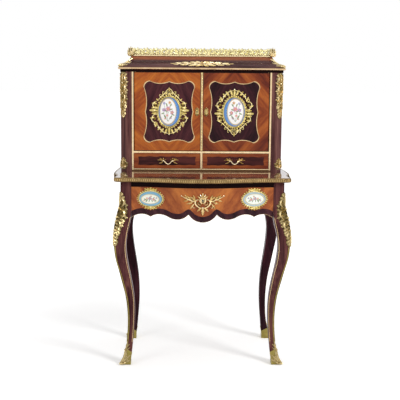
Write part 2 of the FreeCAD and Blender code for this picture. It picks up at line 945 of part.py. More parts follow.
def door_plaque_frame(up):
    centre = V(ornament_x, y_door - door_frame_relief, z_ornament)
    width = door_plaque_half_width + door_frame_border
    height = door_plaque_half_height + door_frame_border
    depth = along_y * door_frame_relief
    solids = [prism(lobed(centre, width, height, door_frame_lobes, frame_lobe_swell), depth)]
    crest = centre + along_z * up * (height - door_frame_border / 2)
    for lean, reach in ((-0.6, 0.6), (0, 1), (0.6, 0.6)):
        end = crest + V(lean * crest_length, 0, up * reach * crest_length)
        solids.append(leaf(crest, end, crest_length / 4, door_frame_relief))
    shell = centre - along_z * up * (height - door_frame_border / 2)
    for lean in (-1.4, -0.7, 0, 0.7, 1.4):
        end = shell + V(lean * shell_length, 0, -up * shell_length * (1 - 0.2 * lean * lean))
        solids.append(leaf(shell, end, shell_length / 4, door_frame_relief))
    for side in (-1, 1):
        for lean in (-1, 0, 1):
            rise = along_z * lean * side_leaf_spread
            root = centre + along_x * side * (door_plaque_half_width + door_frame_border / 2) + rise * 0.5
            tip = centre + along_x * side * frame_half_width + rise
            solids.append(leaf(root, tip, side_leaf_spread / 3, door_frame_relief))
    wide = door_plaque_half_width + plaque_seat_gap
    opening = prism(oval(centre, wide, door_plaque_half_height + plaque_seat_gap), depth)
    return join(solids).cut(opening)


def escutcheon(x, z):
    y = y_door - escutcheon_thickness
    top = V(x, y, z + escutcheon_half_height)
    foot = V(x, y, z - escutcheon_half_height)
    plate = leaf(foot, top, escutcheon_half_width, escutcheon_thickness)
    return plate.cut(keyhole(x, z, y, escutcheon_thickness))


def meeting_strip():
    y0 = y_door - filet_thickness - door_recess / 2
    return block(-x_meeting, x_meeting, y0, y_door, z_door_low, z_door_high)


def door_lock_case():
    x0 = -x_meeting + door_lock_edge
    y0 = y_door + door_thickness
    return block(x0, x0 + door_lock_width, y0, y0 + door_lock_depth,
                 z_ornament - door_lock_height / 2, z_ornament + door_lock_height / 2)


def door_bolt():
    case = door_lock_case().BoundBox
    x0 = case.XMin + bolt_rest_gap
    y = (case.YMin + case.YMax) / 2
    return block(x0, x0 + door_bolt_length, y - door_bolt_thickness / 2, y + door_bolt_thickness / 2,
                 z_ornament - door_bolt_half_height, z_ornament + door_bolt_half_height)


def door_bolt_way():
    bolt = door_bolt().BoundBox
    c = bolt_clearance
    return block(bolt.XMin - door_bolt_throw, bolt.XMax + c, bolt.YMin - c, bolt.YMax + c, bolt.ZMin - c, bolt.ZMax + c)


# Small drawers, drawn for the right-hand one
def small_front():
    x0 = x_meeting + meeting_gap
    z0 = z_floor + door_end_gap
    z1 = z_divider - door_end_gap
    return block(x0, x_door_outer, y_door, y_door + small_front_thickness, z0, z1)


def small_box():
    x0 = x_meeting + meeting_gap + small_box_inset
    x1 = x_door_outer - small_box_inset
    y0 = y_door + small_front_thickness
    y1 = y_panel_back - small_back_gap
    z1 = z_divider - small_box_drop
    floor_z = z_floor + small_groove_lift
    inner0 = x0 + small_board
    inner1 = x1 - small_board
    bottom = block(inner0 - small_groove, inner1 + small_groove, y0, y1, floor_z, floor_z + small_bottom)
    near = block(x0, inner0, y0, y1, z_floor, z1).cut(bottom)
    far = block(inner1, x1, y0, y1, z_floor, z1).cut(bottom)
    back = block(inner0, inner1, y1 - small_board, y1, floor_z + small_bottom, z1)
    return [near, far, back, bottom]


def small_pull():
    z = (z_floor + z_divider) / 2
    y = y_door - pull_stand_off
    ends = [V(pull_x - pull_half_span, y, z), V(pull_x + pull_half_span, y, z)]
    path = Part.Wire([arc(ends[0], V(pull_x, y, z - pull_dip), ends[1])])
    start = path.Edges[0].tangentAt(path.Edges[0].FirstParameter)
    side_way = along_y.cross(start)
    ring = []
    for corner in range(8):
        angle = math.pi * (corner + 0.5) / 4
        ring.append(ends[0] + (along_y * math.cos(angle) + side_way * math.sin(angle)) * pull_rod_radius)
    solids = [path.makePipeShell([Part.Wire(loop(ring))], True, False)]
    for side, end in ((-1, ends[0]), (1, ends[1])):
        post = pull_stand_off + pull_post_radius
        solids.append(Part.makeCylinder(pull_post_radius, post, end - along_y * pull_post_radius, along_y))
        root = V(end.x - side * pull_leaf_half_width, y_door - pull_plate, z)
        for rise in (-0.35, 0, 0.35):
            tip = root + V(side * pull_leaf_length * (1 - abs(rise) / 2), 0, rise * pull_leaf_length)
            solids.append(leaf(root, tip, pull_leaf_half_width * 0.6, pull_plate))
    return join(solids)


# Cornice, hood and gallery
def cornice_board():
    return block(-cornice_half, cornice_half, y_cornice, y_cabinet_back, z_cornice, z_hood)


def cornice_moulding_strip():
    grow = cornice_moulding
    solid = block(-cornice_half - grow, cornice_half + grow, y_cornice - grow, y_cabinet_back, z_cornice, z_hood)
    rim = []
    for edge in solid.Edges:
        box = edge.BoundBox
        if box.ZMax - box.ZMin < 0.001 and box.YMin < y_cabinet_back - 0.001 and box.ZMax < z_hood - 0.001:
            rim.append(edge)
    return solid.makeFillet(cornice_rounding, rim).cut(cornice_board())


def hood_profile(foot, head, point):
    # One flaring side: a rounded lip, a hollow curve and a short neck, from foot to head
    lip = foot + (head - foot) * hood_lip_draw_in / hood_draw_in
    crown = foot + (lip - foot) * hood_lip_share
    hollow = lip + (head - lip) * (1 - hood_hollow)
    z0 = z_hood + hood_lip_height
    z1 = z_gallery - hood_neck
    middle = z0 + (z1 - z0) * hood_hollow_height
    return [
        arc(point(foot, z_hood), point(crown, z_hood + hood_lip_height * hood_lip_crown), point(lip, z0)),
        arc(point(lip, z0), point(hollow, middle), point(head, z1)),
        line(point(head, z1), point(head, z_gallery)),
    ]


def hood_solid():
    foot_x = cornice_half - hood_foot_inset + cornice_moulding
    foot_y = y_cornice + hood_foot_inset - cornice_moulding
    head_x = foot_x - hood_draw_in
    head_y = foot_y + hood_draw_in

    def side_point(x, z):
        return V(x, foot_y, z)

    def front_point(y, z):
        return V(-foot_x, y, z)

    half = hood_profile(foot_x, head_x, side_point)
    level = [line(side_point(s, z), side_point(-s, z)) for s, z in ((foot_x, z_hood), (head_x, z_gallery))]
    across = prism(half + reflected(half) + level, along_y * (y_cabinet_back - foot_y))
    front = hood_profile(foot_y, head_y, front_point)
    back = [
        line(front_point(foot_y, z_hood), front_point(y_cabinet_back, z_hood)),
        line(front_point(y_cabinet_back, z_hood), front_point(y_cabinet_back, z_gallery)),
        line(front_point(y_cabinet_back, z_gallery), front_point(head_y, z_gallery)),
    ]
    return across.common(prism(front + back, along_x * 2 * foot_x))


def hood_head():
    # Half width and front plane of the flat top of the hood
    x = cornice_half - hood_foot_inset + cornice_moulding - hood_draw_in
    y = y_cornice + hood_foot_inset - cornice_moulding + hood_draw_in
    return x, y


def hood(solid):
    x, y = hood_head()
    cavity = block(-x + hood_wall, x - hood_wall, y + hood_wall, y_cabinet_back - hood_wall,
                   z_hood, z_hood + hood_cavity_depth)
    return solid.cut(cavity)


def hood_front_mount(solid):
    layer = solid.copy()
    layer.translate(along_y * -hood_mount_relief)
    z = z_hood + hood_mount_height
    centre = V(0, y_cornice - overall_depth / 2, z)
    deep = overall_depth
    leaves = [prism(oval(centre, hood_boss_half_width, hood_boss_half_height), along_y * deep)]
    for side in (1, -1):
        for x0, z0, x1, z1, half in hood_mount_leaves:
            leaves.append(leaf(centre + V(side * x0, 0, z0), centre + V(side * x1, 0, z1), half, deep))
    return join(leaves).common(layer).cut(solid)


def hood_corner_mount(solid):
    layer = solid.copy()
    layer.translate(V(1, -1, 0) * hood_corner_relief)
    x, y = hood_head()
    base = V(x - hood_draw_in, y + hood_draw_in, 0)
    outline = drop_outline(hood_corner_head, hood_corner_half_width, hood_corner_tip, z_gallery - hood_neck,
                           z_hood + hood_corner_widest, z_hood + hood_corner_gap)
    return corner_prism(base, outline, 4 * hood_draw_in).common(layer).cut(solid)


def gallery_strip(length):
    # A pierced strip along X, from the origin, standing on z = 0
    strip = block(0, length, 0, gallery_thickness, 0, gallery_height)
    count = max(1, int((length - gallery_pitch / 2) / gallery_pitch))
    first = (length - (count - 1) * gallery_pitch) / 2
    low = gallery_rail
    high = gallery_height - gallery_rail
    windows = []
    for index in range(count):
        x = first + index * gallery_pitch
        windows.append(leaf(V(x, 0, low), V(x, 0, high), gallery_opening / 2, gallery_thickness))
    return strip.cut(Part.makeCompound(windows))


def gallery():
    x, y = hood_head()
    half = x - gallery_inset
    y0 = y + gallery_inset
    y1 = y_cabinet_back - gallery_inset
    front = gallery_strip(2 * half)
    back = front.copy()
    front.translate(V(-half, y0, z_gallery))
    back.translate(V(-half, y1 - gallery_thickness, z_gallery))
    side = gallery_strip(y1 - y0 - 2 * gallery_thickness)
    side.rotate(V(0, 0, 0), along_z, 90)
    side.translate(V(half, y0 + gallery_thickness, z_gallery))
    corners = []
    for sx in (-1, 1):
        for y_face, way in ((y0, -1), (y1, 1)):
            corners.append(gallery_finial(sx * half, y_face, way))
    return [front, back, mirrored(side), side] + corners


def gallery_finial(x, y_face, way):
    # A leafy corner piece that stands against the meeting strips
    base = V(x, y_face, z_gallery)
    deep = gallery_thickness * way
    half = gallery_finial_half_width
    solids = [leaf(base, base + along_z * gallery_finial_height, half * 0.55, deep)]
    for lean in (-1, 1):
        tip = base + V(lean * half, 0, gallery_finial_height * 0.72)
        solids.append(leaf(base, tip, half * 0.4, deep))
    return join(solids)


def build_table():
    front = V(leg_x, leg_y, 0)
    back = V(back_leg_x, back_leg_y, 0)
    front_wood = leg(front, -1, 0)
    back_wood = leg(back, 1, 0)
    save("front_leg_right", front_wood)
    save("front_leg_left", mirrored(front_wood))
    save("back_leg_right", back_wood)
    save("back_leg_left", mirrored(back_wood))
    shoes = [sabot(front, -1, front_wood), sabot(back, 1, back_wood)]
    save("sabots", *[mirrored(shoe) for shoe in shoes], *shoes)
    knee = knee_mount(front_wood, leg(front, -1, mount_thickness))
    save("knee_mounts", mirrored(knee), knee)
    rail = side_rail(front_wood, back_wood)
    save("side_rails", mirrored(rail), rail)
    save("back_rail", back_rail(back_wood))
    bolt_way = grown_block(frieze_bolt(), bolt_clearance, 0, bolt_throw + 2 * bolt_clearance + lock_top_gap)
    save("top_rail", top_rail(bolt_way))
    runner = drawer_runner(rail, front_wood, back_wood)
    save("drawer_runners", mirrored(runner), runner)
    save("table_top", table_top())
    save("table_edge_moulding", table_edge_moulding())


def build_cabinet():
    foot_hole, head_hole = socket_holes()
    foot_plate, head_plate = pivot_sockets()
    save("cabinet_bottom", inner_board(table_height, floor_thickness))
    divider = inner_board(z_divider, divider_thickness)
    for tool in (foot_hole, foot_plate):
        divider = divider.cut(tool).cut(mirrored(tool))
    save("drawer_divider", divider)
    ceiling = block(-cabinet_half_width, cabinet_half_width, y_cabinet, y_cabinet_back, z_ceiling, z_cornice)
    for tool in (head_hole, head_plate):
        ceiling = ceiling.cut(tool).cut(mirrored(tool))
    save("cabinet_ceiling", ceiling)
    save("pivot_sockets", foot_plate, head_plate, mirrored(foot_plate), mirrored(head_plate))
    side = cabinet_side()
    save("cabinet_sides", mirrored(side), side)
    save("cabinet_back", cabinet_back())
    post = corner_post(0)
    save("corner_post_left", mirrored(post))
    save("corner_post_right", post)
    save("drawer_partition", partition())
    guide = small_guide()
    save("small_drawer_guides", mirrored(guide), guide)
    bearer = shelf_bearer()
    save("shelf_bearers", mirrored(bearer), bearer)
    save("shelf", shelf())
    upper = post_mount(post_upper_head, post_upper_half_width, post_upper_tip, z_ceiling - post_upper_gap,
                       z_ceiling - post_upper_widest, z_ceiling - post_upper_length)
    save("post_mounts_upper", mirrored(upper), upper)
    lower = post_mount(post_lower_head, post_lower_half_width, post_lower_foot, table_height + post_lower_top,
                       table_height + post_lower_widest, table_height + post_lower_gap)
    save("post_mounts_lower", mirrored(lower), lower)
    save("cabinet_filets", *cabinet_filets())
    save("cornice_board", cornice_board())
    save("cornice_moulding", cornice_moulding_strip())
    solid = hood_solid()
    save("hood", hood(solid))
    corner = hood_corner_mount(solid)
    save("hood_mounts", hood_front_mount(solid), mirrored(corner), corner)
    save("gallery", *gallery())


def build_doors():
    pivots = door_pivots()
    case = door_lock_case()
    way = door_bolt_way()
    key = keyhole(escutcheon_x, z_ornament, y_door - door_thickness, 2 * door_thickness + door_lock_depth / 2)
    right = door_panel(-x_meeting)
    left = door_panel(x_meeting + meeting_gap)
    for pivot in pivots:
        right = right.cut(pivot)
        left = left.cut(pivot)
    save("right_door", right.cut(key))
    save("left_door", mirrored(left))
    save("right_door_pivots", *pivots)
    save("left_door_pivots", *[mirrored(pivot) for pivot in pivots])
    filet = door_filet()
    save("right_door_trim", filet, meeting_strip())
    save("left_door_trim", mirrored(filet))
    plaque = door_plaque()
    save("right_door_plaque", plaque)
    save("left_door_plaque", mirrored(plaque))
    save("right_door_plaque_frame", door_plaque_frame(-1))
    save("left_door_plaque_frame", mirrored(door_plaque_frame(1)))
    shield = escutcheon(escutcheon_x, z_ornament)
    save("right_door_escutcheon", shield)
    save("left_door_escutcheon", mirrored(shield))
    save("door_lock", case.cut(way).cut(key))
    save("door_lock_bolt", door_bolt())


def build_frieze_drawer():
    case = frieze_lock_case()
    bolt = frieze_bolt()
    way = grown_block(bolt, bolt_clearance, bolt_clearance, bolt_throw)
    key = keyhole(0, z_drawer_top - frieze_key_drop, -overall_depth, overall_depth + case.BoundBox.YMin + lock_depth / 2)
    front = frieze_front().cut(case).cut(way).cut(key)
    save("frieze_drawer_front", front)
    save("frieze_drawer_box", *frieze_box())
    save("frieze_plaques", frieze_plaque(-frieze_plaque_x), frieze_plaque(frieze_plaque_x))
    save("frieze_plaque_frames", frieze_plaque_frame(-frieze_plaque_x), frieze_plaque_frame(frieze_plaque_x))
    save("frieze_escutcheon", frieze_escutcheon())
    save("frieze_lock", case.cut(way).cut(key))
    save("frieze_lock_bolt", bolt)


def build_small_drawers():
    front = small_front()
    box = small_box()
    pull = small_pull()
    save("right_drawer_front", front)
    save("left_drawer_front", mirrored(front))
    save("right_drawer_box", *box)
    save("left_drawer_box", *[mirrored(board) for board in box])
    save("right_drawer_pull", pull)
    save("left_drawer_pull", mirrored(pull))


os.makedirs("parts", exist_ok=True)
build_table()
build_cabinet()
build_doors()
build_frieze_drawer()
build_small_drawers()
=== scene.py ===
import math
import bpy
import bmesh
import numpy as np
from mathutils import Matrix, Vector
from mathutils.bvhtree import BVHTree


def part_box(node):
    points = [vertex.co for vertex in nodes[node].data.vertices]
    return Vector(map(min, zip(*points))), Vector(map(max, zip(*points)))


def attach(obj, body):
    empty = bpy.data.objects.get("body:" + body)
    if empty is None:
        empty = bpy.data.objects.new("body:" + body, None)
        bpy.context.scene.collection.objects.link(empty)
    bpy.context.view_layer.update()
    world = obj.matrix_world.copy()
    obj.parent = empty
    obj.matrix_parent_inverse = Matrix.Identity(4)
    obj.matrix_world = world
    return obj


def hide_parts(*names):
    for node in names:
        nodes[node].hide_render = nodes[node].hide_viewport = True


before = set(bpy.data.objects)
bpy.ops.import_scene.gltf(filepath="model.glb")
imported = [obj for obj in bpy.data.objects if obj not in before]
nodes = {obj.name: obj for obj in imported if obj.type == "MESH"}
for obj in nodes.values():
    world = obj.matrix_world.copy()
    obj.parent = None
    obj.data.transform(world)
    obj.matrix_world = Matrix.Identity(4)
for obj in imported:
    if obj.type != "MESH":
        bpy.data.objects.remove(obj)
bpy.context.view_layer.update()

mm = 0.001
scene = bpy.context.scene
scene.view_settings.view_transform = "Standard"


def hue(red, green, blue):
    # a colour as the eye names it, 0 to 255, in the linear values that shaders take
    tone = []
    for value in (red, green, blue):
        share = value / 255
        tone.append(share / 12.92 if share <= 0.04045 else ((share + 0.055) / 1.055) ** 2.4)
    return (*tone, 1.0)


def feed(tree, socket, value):
    # a socket takes a link or a plain value
    if isinstance(value, bpy.types.NodeSocket):
        tree.links.new(value, socket)
    else:
        socket.default_value = value


def addNode(tree, kind, inputs=(), **settings):
    # inputs: each socket's name or number, and what goes in
    node = tree.nodes.new(kind)
    for name, value in settings.items():
        setattr(node, name, value)
    for label, value in dict(inputs).items():
        feed(tree, node.inputs[label], value)
    return node


def maths(tree, operation, first, second, clamp=False):
    values = {0: first, 1: second}
    return addNode(tree, "ShaderNodeMath", values, operation=operation, use_clamp=clamp).outputs[0]


def vectorMaths(tree, operation, *values):
    return addNode(tree, "ShaderNodeVectorMath", enumerate(values), operation=operation).outputs


def blendColour(tree, factor, first, second):
    return addNode(tree, "ShaderNodeMix", {0: factor, 6: first, 7: second}, data_type="RGBA").outputs[2]


def mapRange(tree, value, start, end, low, high):
    inputs = {"Value": value, "From Min": start, "From Max": end, "To Min": low, "To Max": high}
    return addNode(tree, "ShaderNodeMapRange", inputs, interpolation_type="SMOOTHSTEP").outputs["Result"]


def addToScene(name, data):
    item = bpy.data.objects.new(name, data)
    scene.collection.objects.link(item)
    return item


# camera, floor and light

studio = {
    "cameraPlace": (-0.101, -3.562, 1.2014),
    "pitch": 8.68,
    "yaw": -1.54,
    "roll": 0.47,
    "lens": 77.4,
    "sensor": 36,
    "ambient": 0.46,
    "floorSize": 80.0,
    "floorTone": (0.92, 0.92, 0.92, 1),
    # glow near the object and far away, and where it changes
    "floorGlow": (0.35, 0.74, 0.55, 1.8),
    # place, aim, width, height, watts
    "lamps": {
        "keyBox": ((2.65, -2.4, 2.7), (0, 0, 0.8), 1.0, 1.0, 82),
        "fillBox": ((-2.6, -2.4, 1.7), (0, 0, 0.7), 1.5, 2.0, 22),
        "topBox": ((0.2, 0.2, 3.3), (0, 0, 0.8), 2.4, 1.6, 13),
    },
}


def seenRay(tree):
    # 1 where the ray that meets the surface comes from the lens, a mirror or glass
    rays = addNode(tree, "ShaderNodeLightPath").outputs
    both = maths(tree, "MAXIMUM", rays["Is Camera Ray"], rays["Is Glossy Ray"])
    return maths(tree, "MAXIMUM", both, rays["Is Transmission Ray"])


def setCamera():
    lens = bpy.data.cameras.new("studioCamera")
    lens.lens = studio["lens"]
    lens.sensor_width = studio["sensor"]
    camera = addToScene("studioCamera", lens)
    camera.location = studio["cameraPlace"]
    turn = Matrix.Rotation(math.radians(studio["yaw"]), 3, "Z")
    tilt = Matrix.Rotation(math.radians(90 - studio["pitch"]), 3, "X")
    lean = Matrix.Rotation(math.radians(studio["roll"]), 3, "Z")
    camera.rotation_euler = (turn @ tilt @ lean).to_euler()
    scene.camera = camera


def setLight():
    for name, (place, aim, width, height, watts) in studio["lamps"].items():
        lamp = bpy.data.lights.new(name, "AREA")
        lamp.shape = "RECTANGLE"
        lamp.size = width
        lamp.size_y = height
        lamp.energy = watts
        holder = addToScene(name, lamp)
        holder.location = place
        holder.rotation_euler = (Vector(aim) - Vector(place)).to_track_quat("-Z", "Y").to_euler()
    world = bpy.data.worlds.new("paleRoom")
    world.use_nodes = True
    tree = world.node_tree
    level = addNode(tree, "ShaderNodeMix", {0: seenRay(tree), 2: studio["ambient"], 3: 1.0})
    back = tree.nodes["Background"].inputs
    feed(tree, back["Color"], (1, 1, 1, 1))
    feed(tree, back["Strength"], level.outputs[0])
    scene.world = world


def setFloor():
    finish = bpy.data.materials.new("paleFloor")
    finish.use_nodes = True
    tree = finish.node_tree
    tree.nodes.clear()
    matt = addNode(tree, "ShaderNodeBsdfDiffuse", {"Color": studio["floorTone"]})
    away = vectorMaths(tree, "LENGTH", addNode(tree, "ShaderNodeTexCoord").outputs["Object"])["Value"]
    near, far, start, end = studio["floorGlow"]
    level = maths(tree, "MULTIPLY", seenRay(tree), mapRange(tree, away, start, end, near, far))
    glow = addNode(tree, "ShaderNodeEmission", {"Strength": level})
    both = addNode(tree, "ShaderNodeAddShader", {0: matt.outputs[0], 1: glow.outputs[0]})
    addNode(tree, "ShaderNodeOutputMaterial", {0: both.outputs[0]})
    half = studio["floorSize"] / 2
    mesh = bpy.data.meshes.new("paleFloor")
    corners = [(-half, -half, 0), (half, -half, 0), (half, half, 0), (-half, half, 0)]
    mesh.from_pydata(corners, [], [(0, 1, 2, 3)])
    mesh.materials.append(finish)
    addToScene("paleFloor", mesh)


setCamera()
setLight()
setFloor()
print("studio set")


# shared shader groups

def newGroup(name, inputs, outputs):
    # inputs: names and plain values; every output is a number
    group = bpy.data.node_groups.new(name, "ShaderNodeTree")
    for label, value in inputs.items():
        kind = "NodeSocketVector" if isinstance(value, tuple) else "NodeSocketFloat"
        group.interface.new_socket(label, in_out="INPUT", socket_type=kind).default_value = value
    for label in outputs:
        group.interface.new_socket(label, in_out="OUTPUT", socket_type="NodeSocketFloat")
    return group, addNode(group, "NodeGroupInput").outputs


def noise(tree, vector, scale, detail=3.0, rough=0.5, warp=0.0):
    inputs = {"Vector": vector, "Scale": scale, "Detail": detail, "Roughness": rough, "Distortion": warp}
    return addNode(tree, "ShaderNodeTexNoise", inputs).outputs["Fac"]


def makeVeneerGroup():
    # figure, streaks and pores of a veneer; mirrored about its centre where leaves are matched
    group, given = newGroup("veneerFigure", {
        "Vector": (0, 0, 0), "Centre": (0, 0, 0), "Mirror": 0.0, "Turn": 0.0, "Along": 3.0, "Across": 30.0,
        "Leaf": 0.0,
    }, ("Figure", "Streak", "Pore"))
    centred = vectorMaths(group, "SUBTRACT", given["Vector"], given["Centre"])[0]
    folded = vectorMaths(group, "ABSOLUTE", centred)[0]
    inputs = {0: given["Mirror"], 4: centred, 5: folded}
    chosen = addNode(group, "ShaderNodeMix", inputs, data_type="VECTOR").outputs[1]
    inputs = {"Vector": chosen, "Angle": given["Turn"]}
    turned = addNode(group, "ShaderNodeVectorRotate", inputs, rotation_type="Y_AXIS").outputs[0]
    inputs = {0: given["Across"], 1: given["Across"], 2: given["Along"]}
    stretch = addNode(group, "ShaderNodeCombineXYZ", inputs).outputs[0]
    scaled = vectorMaths(group, "MULTIPLY", turned, stretch)[0]
    moved = vectorMaths(group, "ADD", scaled, given["Leaf"])[0]
    addNode(group, "NodeGroupOutput", {
        "Figure": noise(group, moved, 0.55, 2.0, 0.5, 0.9),
        "Streak": noise(group, moved, 2.6, 4.0, 0.62, 0.5),
        "Pore": noise(group, moved, 14.0, 2.0, 0.7),
    })
    return group


def makeAgeGroup():
    # faint cloudy polish and dust that every finish shares
    inputs = {"Vector": (0, 0, 0), "Size": 9.0, "Rough": 0.3, "Spread": 0.15}
    group, given = newGroup("ageAndPolish", inputs, ("Roughness", "Dust"))
    cloud = noise(group, given["Vector"], given["Size"], 5.0)
    away = maths(group, "MULTIPLY", maths(group, "SUBTRACT", cloud, 0.5), given["Spread"])
    addNode(group, "NodeGroupOutput", {
        "Roughness": maths(group, "ADD", away, given["Rough"], True),
        "Dust": maths(group, "POWER", cloud, 3.0),
    })
    return group


def makeGiltGroup():
    # how bright a cast gilt surface is: crests rubbed bright with painted highlight, hollows dark with old
    # wax and painted shade
    inputs = {"Vector": (0, 0, 0), "Crest": 0.7, "Chasing": 900.0}
    group, given = newGroup("giltPatinaAndShade", inputs, ("Shine", "Grain"))
    blotch = noise(group, given["Vector"], 60.0, 3.0, 0.6)
    lift = maths(group, "MULTIPLY", maths(group, "SUBTRACT", blotch, 0.5), 0.7)
    addNode(group, "NodeGroupOutput", {
        "Shine": maths(group, "ADD", lift, given["Crest"], True),
        "Grain": noise(group, given["Vector"], given["Chasing"], 2.0),
    })
    return group


veneerGroup = makeVeneerGroup()
ageGroup = makeAgeGroup()
giltGroup = makeGiltGroup()


def placeGroup(tree, group, values):
    return addNode(tree, "ShaderNodeGroup", values, node_tree=group).outputs


def newFinish(name):
    finish = bpy.data.materials.new(name)
    finish.use_nodes = True
    tree = finish.node_tree
    place = addNode(tree, "ShaderNodeTexCoord").outputs["Object"]
    return finish, tree, tree.nodes["Principled BSDF"].inputs, place


def setShader(tree, shader, values):
    for label, value in values.items():
        feed(tree, shader[label], value)


def addBump(tree, shader, height, strength, depth):
    bump = addNode(tree, "ShaderNodeBump", {"Strength": strength, "Distance": depth, "Height": height})
    feed(tree, shader["Normal"], bump.outputs[0])


def addRamp(tree, value, ends, look):
    # the three shades of a look, from dark to light
    ramp = addNode(tree, "ShaderNodeValToRGB", {0: value})
    stops = ramp.color_ramp.elements
    for k, shade in enumerate(("dark", "light")):
        stops[k].position = ends[k]
        stops[k].color = look[shade]
    stops.new(0.5).color = look["mid"]
    return ramp.outputs[0]


def axesOf(tree, place):
    return addNode(tree, "ShaderNodeSeparateXYZ", {0: place}).outputs


def shades(dark, mid, light, **rest):
    return {"dark": hue(*dark), "mid": hue(*mid), "light": hue(*light), **rest}


plainWood = {"centre": (0.0, 0.0, 0.0), "mirror": 0.0, "turn": 0, "along": 4.0, "across": 40.0, "leaf": 0.0,
             "figure": 0.6, "ends": (0.36, 0.64), "joint": 0.005, "gapShadowTone": hue(44, 20, 14),
             "gapShadowShare": 0.85, "pores": 0.36, "poreShare": 0.35, "rough": 0.32, "cloud": 0.14, "gloss": 0.12,
             "coat": 0.16, "coatRough": 0.12, "bump": 0.12, "depth": 0.0004}
# level: how bright a plain surface is; polish: how much smoother a bright one is
giltRules = {"level": 0.72, "ends": (0.08, 0.95), "polish": 0.16, "chasing": 0.18, "depth": 0.0003}


def makeWood(name, look):
    look = {**plainWood, **look}
    finish, tree, shader, place = newFinish(name)
    values = {label.title(): look[label] for label in ("centre", "mirror", "along", "across", "leaf")}
    grain = placeGroup(tree, veneerGroup, {**values, "Vector": place, "Turn": math.radians(look["turn"])})
    mixed = maths(tree, "ADD", maths(tree, "MULTIPLY", grain["Figure"], look["figure"]),
                  maths(tree, "MULTIPLY", grain["Streak"], 1.0 - look["figure"]))
    tone = addRamp(tree, mixed, look["ends"], look)
    across, _, height = axesOf(tree, place)
    if "upper" in look:  # a second veneer above a level
        level, share, tint = look["upper"]
        above = mapRange(tree, height, level - look["joint"], level + look["joint"], 0.0, share)
        tone = blendColour(tree, above, tone, blendColour(tree, mixed, look["dark"], tint))
    if "edge" in look:  # painted shadow: a dark line round a door, the shade of the gap at its edge
        x0, x1, z0, z1, width = look["edge"]
        spans = ((across, x0), (x1, across), (height, z0), (z1, height))
        left, right, under, over = (maths(tree, "SUBTRACT", *span) for span in spans)
        aside, upright = maths(tree, "MINIMUM", left, right), maths(tree, "MINIMUM", under, over)
        near = maths(tree, "MINIMUM", aside, upright)
        line = maths(tree, "MULTIPLY", maths(tree, "LESS_THAN", near, width), look["gapShadowShare"])
        tone = blendColour(tree, line, tone, look["gapShadowTone"])
    pore = maths(tree, "LESS_THAN", grain["Pore"], look["pores"])
    colour = blendColour(tree, maths(tree, "MULTIPLY", pore, look["poreShare"]), tone, look["dark"])
    age = placeGroup(tree, ageGroup, {"Vector": place, "Rough": look["rough"], "Spread": look["cloud"]})
    setShader(tree, shader, {
        "Base Color": colour, "Roughness": age["Roughness"], "Specular IOR Level": look["gloss"],
        "Coat Weight": look["coat"], "Coat Roughness": look["coatRough"],
    })
    addBump(tree, shader, grain["Streak"], look["bump"], look["depth"])
    return finish


def makeGilt(name, look):
    finish, tree, shader, place = newFinish(name)
    crest = addNode(tree, "ShaderNodeAttribute", attribute_name="crest").outputs["Fac"]
    bright = crest if look["cast"] else giltRules["level"]
    patinaAndShade = placeGroup(tree, giltGroup, {"Vector": place, "Crest": bright})
    tone = addRamp(tree, patinaAndShade["Shine"], giltRules["ends"], look)
    if "below" in look:  # painted shade, darkened up to a level
        level, tint = look["below"]
        tone = blendColour(tree, maths(tree, "LESS_THAN", axesOf(tree, place)[2], level), tone, tint)
    polish = maths(tree, "MULTIPLY", patinaAndShade["Shine"], giltRules["polish"])
    rough = maths(tree, "SUBTRACT", look["rough"], polish)
    setShader(tree, shader, {"Base Color": tone, "Metallic": 1.0, "Roughness": rough})
    addBump(tree, shader, patinaAndShade["Grain"], giltRules["chasing"], giltRules["depth"])
    return finish


